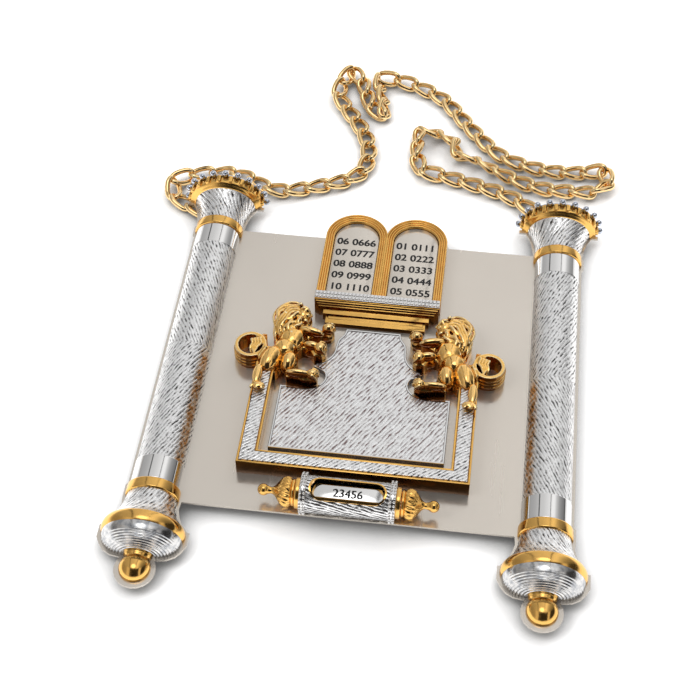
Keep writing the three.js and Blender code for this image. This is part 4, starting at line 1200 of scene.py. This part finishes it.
# %% Rings and name bar
RING_BEADS = 20
RING_BEAD = 0.72 * MM
RING_ROW = 0.85 * MM
RING_SPREAD = 112
bead = ball_mesh(RING_BEAD, 8, 6)
for side, _ in SIDES:
    low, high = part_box(f"holder_ring_{side}")
    ring_radius = high.z - AXIS_Z
    bm = softened(f"holder_ring_{side}", 0.4 * MM)
    for row in (-1, 1):
        for i in range(RING_BEADS + 1):
            turn = math.radians(RING_SPREAD * (2 * i / RING_BEADS - 1))
            centre = ((low.x + high.x) / 2 + row * RING_ROW, AXIS_Y + ring_radius * math.sin(turn),
                      AXIS_Z + ring_radius * math.cos(turn))
            add_copy(bm, bead, Matrix.Translation(centre))
    piece(f"holder_ring_{side}_fine", bm, polished_silver, [f"holder_ring_{side}"])

BAR_SIDES = 6
BAR_CORNER = 6.8 * MM
BAR_FACE = BAR_CORNER * math.cos(math.pi / BAR_SIDES)
FIRST_NUMBER, NUMBER_STEP = 23456, 11111
bm = bmesh.new()
for i in range(BAR_SIDES):
    digits = number_mesh(str(FIRST_NUMBER + i * NUMBER_STEP), 5.8 * MM, 0.08 * MM)
    turn = Matrix.Rotation(WINDOW_TILT + 2 * math.pi * i / BAR_SIDES, 4, "X")
    on_face = Matrix.Translation((0, -0.7 * MM, BAR_FACE))
    add_bold(bm, digits, Matrix.Translation((0, AXIS_Y, AXIS_Z)) @ turn @ on_face)
piece("name_numbers", bm, number_black, body=BAR, sharp=30)
print("numbers on the name bar:", BAR_SIDES)

# %% [markdown]
# ## Knobs
# A knob is a turned flange, a full bulb with fine slanting ribs, a neck and a ball. The profile is spun,
# then each ring of points is pushed in and out round its axis, with a twist that makes the ribs slant.

# %% Knobs
KNOB_RIBS = 20
RIB_DEPTH = 0.45 * MM
RIB_SLANT = math.radians(105)
RIB_START, RIB_END = 0.1, 0.5
KNOB_BALL = 2.9 * MM
KNOB_BALL_STEPS = 12
KNOB_CLEARANCE = 0.7 * MM
KNOB_SHARES = [(0, 0.84), (0.012, 0.88), (0.06, 0.89), (0.075, 0.86), (0.085, 0.82), (0.1, 0.88),
               (0.14, 0.96), (0.19, 1), (0.25, 0.99), (0.31, 0.95), (0.36, 0.87), (0.4, 0.77),
               (0.44, 0.64), (0.48, 0.5), (0.515, 0.38), (0.55, 0.3), (0.59, 0.235), (0.63, 0.21)]


def knob_profile(length, radius):
    """Radius and place along the axis: the shares of bulb and neck, then the ball."""
    points = [(0, 0)] + [(radius * across, length * along) for along, across in KNOB_SHARES]
    neck = math.asin(points[-1][0] / KNOB_BALL)
    for i in range(1, KNOB_BALL_STEPS + 1):
        turn = neck + (math.pi - neck) * i / KNOB_BALL_STEPS
        points.append((KNOB_BALL * math.sin(turn), length - KNOB_BALL - KNOB_BALL * math.cos(turn)))
    return points[:-1] + [(0, length)]


def rib(bm, length):
    """Pushes the bulb in between its ribs."""
    for vert in bm.verts:
        share = (vert.co.z / length - RIB_START) / (RIB_END - RIB_START)
        if 0 < share < 1:
            turn = math.atan2(vert.co.y, vert.co.x) + RIB_SLANT * share
            depth = RIB_DEPTH * math.sin(math.pi * share) ** 0.5
            push = depth * (math.sin(KNOB_RIBS * turn) - 1) / math.hypot(vert.co.x, vert.co.y)
            vert.co.x *= 1 + push
            vert.co.y *= 1 + push


for side, sign in SIDES:
    low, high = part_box(f"knob_{side}")
    length, radius = high.x - low.x, AXIS_Z - FACE - KNOB_CLEARANCE
    bm = bmesh.new()
    verts, edges = line(bm, [(r, 0, along) for r, along in knob_profile(length, radius)])
    bmesh.ops.spin(bm, geom=verts + edges, cent=(0, 0, 0), axis=(0, 0, 1), angle=2 * math.pi,
                   steps=KNOB_RIBS * 6, use_merge=True)
    bmesh.ops.remove_doubles(bm, verts=bm.verts, dist=0.002 * MM)
    rib(bm, length)
    outwards = Matrix.Rotation(sign * math.pi / 2, 3, "Y")
    bmesh.ops.rotate(bm, cent=(0, 0, 0), matrix=outwards, verts=bm.verts)
    start = low.x if sign > 0 else high.x
    bmesh.ops.translate(bm, vec=(start, AXIS_Y, AXIS_Z), verts=bm.verts)
    piece(f"knob_{side}_fine", bm, gilt, [f"knob_{side}"], BAR, sharp=60)
print("ribs on each knob:", KNOB_RIBS)

# %% [markdown]
# ## Lions
# The lions are castings with soft, full forms. The solid gives the silhouette. Rounded masses, locks
# of mane, toes and a tufted tail are laid over it, and the whole is joined by a voxel remesh and
# smoothed, which melts the joints the way wax does before it is cast. All places are in millimetres from
# the middle of the shield, for the right lion, and the left one is its mirror image.

# %% Lion helpers
LION_VOXEL = 0.36 * MM
LION_LIFT = 1.6


def shield_point(x, y, z):
    """A place given in millimetres from the middle of the shield, lifted onto the lion's ground."""
    return Vector((x * MM, y * MM + MID_Y, (z + LION_LIFT) * MM + FACE))


def add_blob(bm, centre, radii, turn=0.0, detail=3):
    """A rounded mass: a ball stretched three ways and turned."""
    made = bmesh.ops.create_icosphere(bm, subdivisions=detail, radius=1)["verts"]
    turned = Matrix.Translation(shield_point(*centre)) @ Matrix.Rotation(math.radians(turn), 4, "Z")
    stretch = Matrix.Diagonal((*(Vector(radii) * MM), 1))
    bmesh.ops.transform(bm, matrix=turned @ stretch, verts=made)


def add_ring(bm, segments, radius, matrix):
    """A circle of edges at a place; returns its points and its edges."""
    ring = bmesh.ops.create_circle(bm, cap_ends=False, segments=segments, radius=radius)["verts"]
    bmesh.ops.transform(bm, matrix=matrix, verts=ring)
    return ring, list({edge for vert in ring for edge in vert.link_edges})


def add_lock(bm, points, thick, thin=0.25, sides=8):
    """A tapered strand through a few places, like a lock of hair or a toe."""
    places = [shield_point(*point) for point in points]
    steps = 4 * (len(places) - 1)
    rings = []
    for i in range(steps + 1):
        share = i / steps
        before = curve_point(places, max(0, share - 0.02))
        after = curve_point(places, min(1, share + 0.02))
        radius = thick * MM * (thin + (1 - thin) * math.sin(math.pi * (0.18 + 0.82 * share)))
        turned = (after - before).to_track_quat("Z", "Y").to_matrix().to_4x4()
        place = Matrix.Translation(curve_point(places, share)) @ turned
        rings.append(add_ring(bm, sides, radius, place)[1])
    for first, second in zip(rings, rings[1:]):
        bmesh.ops.bridge_loops(bm, edges=first + second)
    for end in (rings[0], rings[-1]):
        bmesh.ops.contextual_create(bm, geom=end)


# %% Lion forms
MASSES = [
    ((43.4, 21.0, 4.4), (8.2, 11.4, 6.2), 0),
    ((37.4, 24.4, 8.4), (3.6, 4.6, 4.2), 0),
    ((35.2, 23.2, 8.6), (1.9, 2.0, 3.0), 0),
    ((41.0, 9.5, 5.5), (7.2, 8.0, 6.4), 20),
    ((44.0, 2.5, 5.5), (6.4, 6.6, 6.0), 0),
    ((50.2, -6.0, 6.5), (5.6, 9.2, 6.4), 18),
    ((40.6, -6.0, 6.0), (4.6, 6.6, 5.6), 10),
    ((32.0, 14.6, 8.4), (7.4, 2.2, 2.8), 12),
    ((23.2, 17.6, 8.2), (3.4, 2.8, 3.2), 0),
    ((30.0, 5.4, 8.0), (4.6, 2.1, 2.6), 10),
    ((25.6, 4.2, 8.0), (3.2, 3.4, 3.1), 0),
    ((35.0, -13.6, 7.8), (6.6, 1.9, 2.6), 0),
    ((27.4, -13.2, 7.6), (3.2, 2.6, 3.0), 0),
    ((54.8, -18.6, 10.6), (2.6, 6.4, 2.2), 0),
    ((53.4, -26.0, 10.2), (3.8, 2.4, 2.1), 0),
]
TOES = [
    ((23.8, 20.0, 9.8), (20.9, 20.0, 8.6), (19.8, 19.2, 6.6)),
    ((23.2, 18.2, 10.4), (20.4, 17.9, 8.8), (19.4, 17.4, 6.6)),
    ((23.8, 16.2, 9.8), (21.2, 15.9, 8.2), (20.2, 15.6, 6.4)),
    ((26.4, 6.8, 9.8), (24.0, 7.0, 8.6), (22.6, 6.4, 6.6)),
    ((25.6, 4.6, 10.4), (23.2, 4.2, 8.8), (22.2, 3.6, 6.6)),
    ((25.8, 2.2, 9.8), (23.8, 1.4, 8.2), (23.0, 0.8, 6.4)),
    ((27.8, -11.2, 9.6), (25.2, -11.4, 8.2), (24.2, -12.0, 6.2)),
    ((27.4, -13.2, 10.0), (24.8, -13.6, 8.4), (24.0, -14.0, 6.2)),
    ((28.0, -15.2, 9.4), (26.0, -15.8, 8.0), (25.2, -16.0, 6.2)),
    ((55.8, -25.4, 11.2), (56.8, -27.6, 10.6), (56.6, -28.3, 10.2)),
    ((53.6, -25.6, 11.4), (54.0, -28.0, 10.8), (53.8, -28.4, 10.2)),
    ((51.6, -25.4, 11.2), (51.2, -27.8, 10.6), (50.8, -28.2, 10.2)),
]
FACE_LOCKS = [
    ([(38.4, 28.0, 11.6), (36.2, 26.6, 12.2), (34.4, 25.2, 11.2), (33.2, 24.2, 9.6)], 1.3),
    ([(36.4, 24.2, 10.8), (34.6, 23.2, 10.6), (33.6, 22.7, 9.0)], 1.25),
    ([(37.0, 21.6, 9.4), (35.4, 20.4, 9.4), (34.4, 19.9, 8.0)], 1.2),
    ([(38.6, 26.6, 12.6), (37.0, 26.3, 13.2), (35.8, 25.4, 12.4)], 0.55),
    ([(39.8, 28.6, 11.6), (39.0, 30.2, 11.8), (38.0, 29.8, 11.2)], 1.15),
    ([(37.4, 19.6, 9.0), (36.8, 17.4, 8.6), (38.0, 14.6, 8.0)], 1.0),
]
EYE = ((36.4, 25.0, 12.6), (0.6, 0.5, 0.5))
NOSE = ((33.0, 24.0, 9.8), (1.0, 0.9, 1.0))
print("masses, toes and face locks:", len(MASSES), len(TOES), len(FACE_LOCKS))

# %% Mane
MANE_BACK = [(37.2, 29.6), (41.2, 33.0), (47.0, 32.4), (51.2, 27.0), (52.0, 19.5), (51.0, 12.0),
             (49.4, 6.8)]
MANE_FRONT = [(37.4, 18.6), (38.8, 16.4), (40.2, 14.2), (41.4, 12.0), (42.4, 10.0), (43.4, 8.2),
              (44.4, 6.6)]
MANE_STRANDS = 11
MANE_STEPS = 10
MANE_MIDDLE = Vector((43, 21, 0))
MANE_TOP, MANE_FALL, MANE_SPAN = 11.6, 3.4, 12
MANE_WAVE, MANE_TURNS = 0.75, 15
MANE_SEED = 7


def mane_locks():
    """Long wavy strands that start round the face, cross the neck and end down its back."""
    draw = random.Random(MANE_SEED)
    back, front = ([Vector((x, y, 0)) for x, y in curve] for curve in (MANE_BACK, MANE_FRONT))
    locks = []
    for k in range(MANE_STRANDS):
        share = k / (MANE_STRANDS - 1)
        phase = draw.uniform(0, 2 * math.pi)
        points = []
        for i in range(MANE_STEPS + 1):
            run = i / MANE_STEPS
            later = min(1, run + 0.05)
            here = curve_point(back, run).lerp(curve_point(front, run), share)
            ahead = curve_point(back, later).lerp(curve_point(front, later), share)
            sideways = (ahead - here).normalized().cross(Vector((0, 0, 1)))
            here += sideways * MANE_WAVE * math.sin(phase + MANE_TURNS * run)
            dome = MANE_TOP - MANE_FALL * ((here - MANE_MIDDLE).length / MANE_SPAN) ** 2
            points.append((here.x, here.y, dome + 0.5 * math.sin(phase * 2 + 11 * run)))
        locks.append((points, draw.uniform(0.95, 1.15)))
    return locks


print("strands of mane:", MANE_STRANDS)

# %% Tail
TAIL_MIDDLE = shield_point(61.8, 2.1, 0)
TAIL_REACH = 9.6 * MM
TUFT_LOCKS = 4
TUFT_PITCH = 1.5
TUFT_THICK = 0.8
RIDGE_RADIUS = 0.5 * MM
RIDGE_REACH = 8.5 * MM
RIDGE_LEVELS = (2.6, 5.0, 7.4)


def add_tuft(bm):
    """Curled locks side by side inside the ring of the tail."""
    for i in range(TUFT_LOCKS):
        aside = TUFT_PITCH * i
        curl = [(55.4 + aside, 8.8 - 0.5 * aside, 7.0), (57.4 + aside, 6.6 - 0.3 * aside, 8.8),
                (56.6 + aside, 3.2, 8.4), (58.8 + 0.7 * aside, 0.4, 8.2),
                (59.0 + 0.5 * aside, -3.0, 7.0)]
        add_lock(bm, curl, TUFT_THICK)


def add_ridges(bm):
    """The rings that run round the outside of the tail."""
    for level in RIDGE_LEVELS:
        centre = TAIL_MIDDLE + Vector((RIDGE_REACH, 0, (level - LION_LIFT) * MM))
        place = Matrix.Translation(centre) @ Matrix.Rotation(math.pi / 2, 4, "X")
        ridge, edges = add_ring(bm, 8, RIDGE_RADIUS, place)
        bmesh.ops.spin(bm, geom=ridge + edges, cent=TAIL_MIDDLE, axis=(0, 0, 1), angle=2 * math.pi,
                       steps=48, use_merge=True)


print("ridges on each tail:", len(RIDGE_LEVELS))

# %% Lions
SLAB_SHARE = 0.7
TOE_THICK, TOE_TIP = 0.95, 0.5


def lion_forms():
    """The solid, lowered but for its tail, with every rounded form laid over it."""
    bm = bmesh.new()
    bm.from_mesh(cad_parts["lion_right"].data)
    bmesh.ops.remove_doubles(bm, verts=bm.verts, dist=0.005 * MM)
    for vert in bm.verts:
        if (vert.co.xy - TAIL_MIDDLE.xy).length > TAIL_REACH:
            vert.co.z = FACE + (vert.co.z - FACE) * SLAB_SHARE
    for centre, radii, turn in MASSES:
        add_blob(bm, centre, radii, turn)
    for toe in TOES:
        add_lock(bm, toe, TOE_THICK, TOE_TIP)
    for points, thick in mane_locks() + FACE_LOCKS:
        add_lock(bm, points, thick)
    for centre, radii in (EYE, NOSE):
        add_blob(bm, centre, radii, detail=2)
    add_tuft(bm)
    add_ridges(bm)
    return bm


def melted(bm, voxel, smooth_times):
    """Joins overlapping forms into one closed skin and smooths it."""
    made = as_object(bm, "melt")
    remesh = made.modifiers.new("melt", "REMESH")
    remesh.mode = "VOXEL"
    remesh.voxel_size = voxel
    bm = applied(made)
    for _ in range(smooth_times):
        bmesh.ops.smooth_vert(bm, verts=bm.verts, factor=0.5, use_axis_x=True, use_axis_y=True,
                              use_axis_z=True)
    return bm


lion = melted(lion_forms(), LION_VOXEL, 2)
bmesh.ops.bisect_plane(lion, geom=lion.verts[:] + lion.edges[:] + lion.faces[:], dist=1e-7,
                       plane_co=(0, 0, FACE), plane_no=(0, 0, -1), clear_outer=True)
mirrored = lion.copy()
bmesh.ops.scale(mirrored, vec=(-1, 1, 1), verts=mirrored.verts)
bmesh.ops.reverse_faces(mirrored, faces=mirrored.faces)
for side, body_mesh in (("right", lion), ("left", mirrored)):
    open_edges = [e for e in body_mesh.edges if e.is_boundary]
    bmesh.ops.holes_fill(body_mesh, edges=open_edges, sides=0)
    made = piece(f"lion_{side}_fine", body_mesh, lion_gold, [f"lion_{side}"], sharp=80)
    print(made.name, "faces:", len(made.data.polygons))

# %% [markdown]
# ## Chain
# The links are laid joint by joint along the route, from the eye behind the left crown to the eye
# behind the right one.

# %% Chain
bm = bmesh.new()
for (start, start_edge), (end, end_edge) in zip(joints, joints[1:]):
    add_copy(bm, link, link_place(start, end, (start_edge + end_edge) / 2))
chain = piece("chain_fine", bm, chain_gold, ["chain"], sharp=60)

# %% [markdown]
# ## Floor
# The shield lies on a white table. A white floor under lamps is only as bright as they make it, so a
# little glow is added, for the rays of the camera and for those that metal sends on. Every other ray
# sees the plain floor, and so the glow lights nothing. Ambient occlusion darkens the floor close to the
# shield, the way a real table is dark under an edge.

# %% Floor
FLOOR_SIZE = 6.0
FLOOR_GLOW = 0.42
CONTACT_REACH = 22 * MM


def shown_rays(tree):
    """One for the rays of the camera and for those that metal and glass send on, else zero."""
    path = tree.nodes.new("ShaderNodeLightPath").outputs
    sent_on = sums(tree, "MAXIMUM", path["Is Glossy Ray"], path["Is Transmission Ray"])
    return sums(tree, "MAXIMUM", path["Is Camera Ray"], sent_on)


bm = bmesh.new()
bmesh.ops.create_grid(bm, x_segments=1, y_segments=1, size=FLOOR_SIZE / 2)
floor = as_object(bm, "floor")
floor_material, tree, shader = new_material("floor", (0.8, 0.8, 0.8), 0.0, 0.8)
contact = node(tree, "ShaderNodeAmbientOcclusion", samples=8)
contact.inputs["Distance"].default_value = CONTACT_REACH
shade = ramp(tree, contact.outputs["AO"], [(0.25, grey(0.15)), (0.95, grey(1))])
tree.links.new(shade, shader.inputs["Base Color"])
glow = node(tree, "ShaderNodeEmission", shade, FLOOR_GLOW)
dark = node(tree, "ShaderNodeEmission", (0, 0, 0, 1), 0.0)
shown = node(tree, "ShaderNodeMixShader", shown_rays(tree), dark.outputs[0], glow.outputs[0])
added = node(tree, "ShaderNodeAddShader", shader.outputs[0], shown.outputs[0])
tree.links.new(added.outputs[0], tree.nodes["Material Output"].inputs[0])
floor.data.materials.append(floor_material)
floor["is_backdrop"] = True
print("floor:", FLOOR_SIZE, "m wide")

# %% [markdown]
# ## World
# Polished metal is only as good as what it reflects. An even white world would leave it flat, so this
# one is a room: light walls and windows with narrow dark places between them, a different row of them
# behind the shield and before it, and one soft box overhead. Near the horizon the world is plain white,
# and camera and metal both see it so.

# %% World
BEHIND = [(-1, 0.3), (-0.8, 0.42), (-0.6, 0.5), (-0.47, 0.6), (-0.44, 0.06), (-0.41, 0.06),
          (-0.39, 0.68), (-0.2, 0.72), (0.08, 0.88), (0.172, 0.92), (0.18, 0.05), (0.2, 0.05),
          (0.21, 0.92), (0.3, 1.08), (0.4, 1.02), (0.5, 0.66), (0.62, 0.4), (0.8, 0.2), (1, 0.1)]
BEFORE = [(-1, 0.3), (-0.75, 0.4), (-0.6, 0.75), (-0.4, 0.7), (-0.36, 0.12), (-0.12, 0.05),
          (-0.08, 0.03), (0.55, 0.03), (0.6, 0.8), (0.72, 0.8), (0.78, 0.05), (1, 0.05)]
TOP_BOX = Vector((-0.05, -0.05, 1.0))
WHITE = (1, 1, 1)


def side_to_side(tree, sideways, stops, tint):
    """Brightness from the left of the room, -1, to its right, 1."""
    place = sums(tree, "ADD", times(tree, sideways, 0.5), 0.5)
    return ramp(tree, place, [((at + 1) / 2, [c * value for c in tint]) for at, value in stops])


world = bpy.data.worlds.new("world")
bpy.context.scene.world = world
world.use_nodes = True
tree = world.node_tree
tree.nodes.clear()
direction = tree.nodes.new("ShaderNodeTexCoord").outputs["Generated"]
sideways, away, up = node(tree, "ShaderNodeSeparateXYZ", direction).outputs
facing = sums(tree, "ADD", times(tree, away, 0.64), times(tree, up, 0.77))
before_or_behind = ramp(tree, facing, [(0.48, grey(0)), (0.56, grey(1))])
before = side_to_side(tree, sideways, BEFORE, (1, 0.95, 0.9))
room = blended(tree, before_or_behind, before, side_to_side(tree, sideways, BEHIND, WHITE))
to_box = node(tree, "ShaderNodeVectorMath", direction, TOP_BOX, operation="DISTANCE").outputs["Value"]
overhead = ramp(tree, to_box, [(0.2, grey(1.6)), (0.26, grey(0))])
lit = node(tree, "ShaderNodeVectorMath", room, overhead, operation="ADD").outputs[0]
horizon = ramp(tree, up, [(0.1, grey(1)), (0.16, grey(0))])
surroundings = node(tree, "ShaderNodeBackground", blended(tree, horizon, lit, WHITE), 1.0)
node(tree, "ShaderNodeOutputWorld", surroundings.outputs[0])
print("places in the room:", len(BEHIND), "behind and", len(BEFORE), "before")

# %% [markdown]
# ## Lamps
# Two large soft lamps give the shadows on the table. Metal does not show them, because their squares
# would lie like windows on every band; what it shows is the room alone.

# %% Lamps
def area_lamp(name, place, target, size, power):
    """A square lamp that is aimed at a point and leaves no reflection."""
    data = bpy.data.lights.new(name, "AREA")
    data.size = size
    data.energy = power
    lamp = bpy.data.objects.new(name, data)
    lamp.location = place
    lamp.visible_glossy = False
    lamp.rotation_euler = (Vector(target) - Vector(place)).to_track_quat("-Z", "Y").to_euler()
    collection.objects.link(lamp)


area_lamp("key", (-0.9, -0.3, 1.2), (0, 0, 0), 0.7, 9)
area_lamp("back", (0.5, 1.1, 1.1), (0, 0.05, 0), 0.9, 9)
print("lamps:", len(bpy.data.lights))

bpy.context.scene.view_settings.view_transform = "Standard"

# %% [markdown]
# ## Sizes
# The finished pieces may stand a little proud of their solids, and the growth of the whole box shows by
# how much.

# %% Sizes
low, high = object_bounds()
growth = (high - low) - (cad_high - cad_low)
print("visual box grows by", [round(size / MM, 2) for size in growth], "mm")
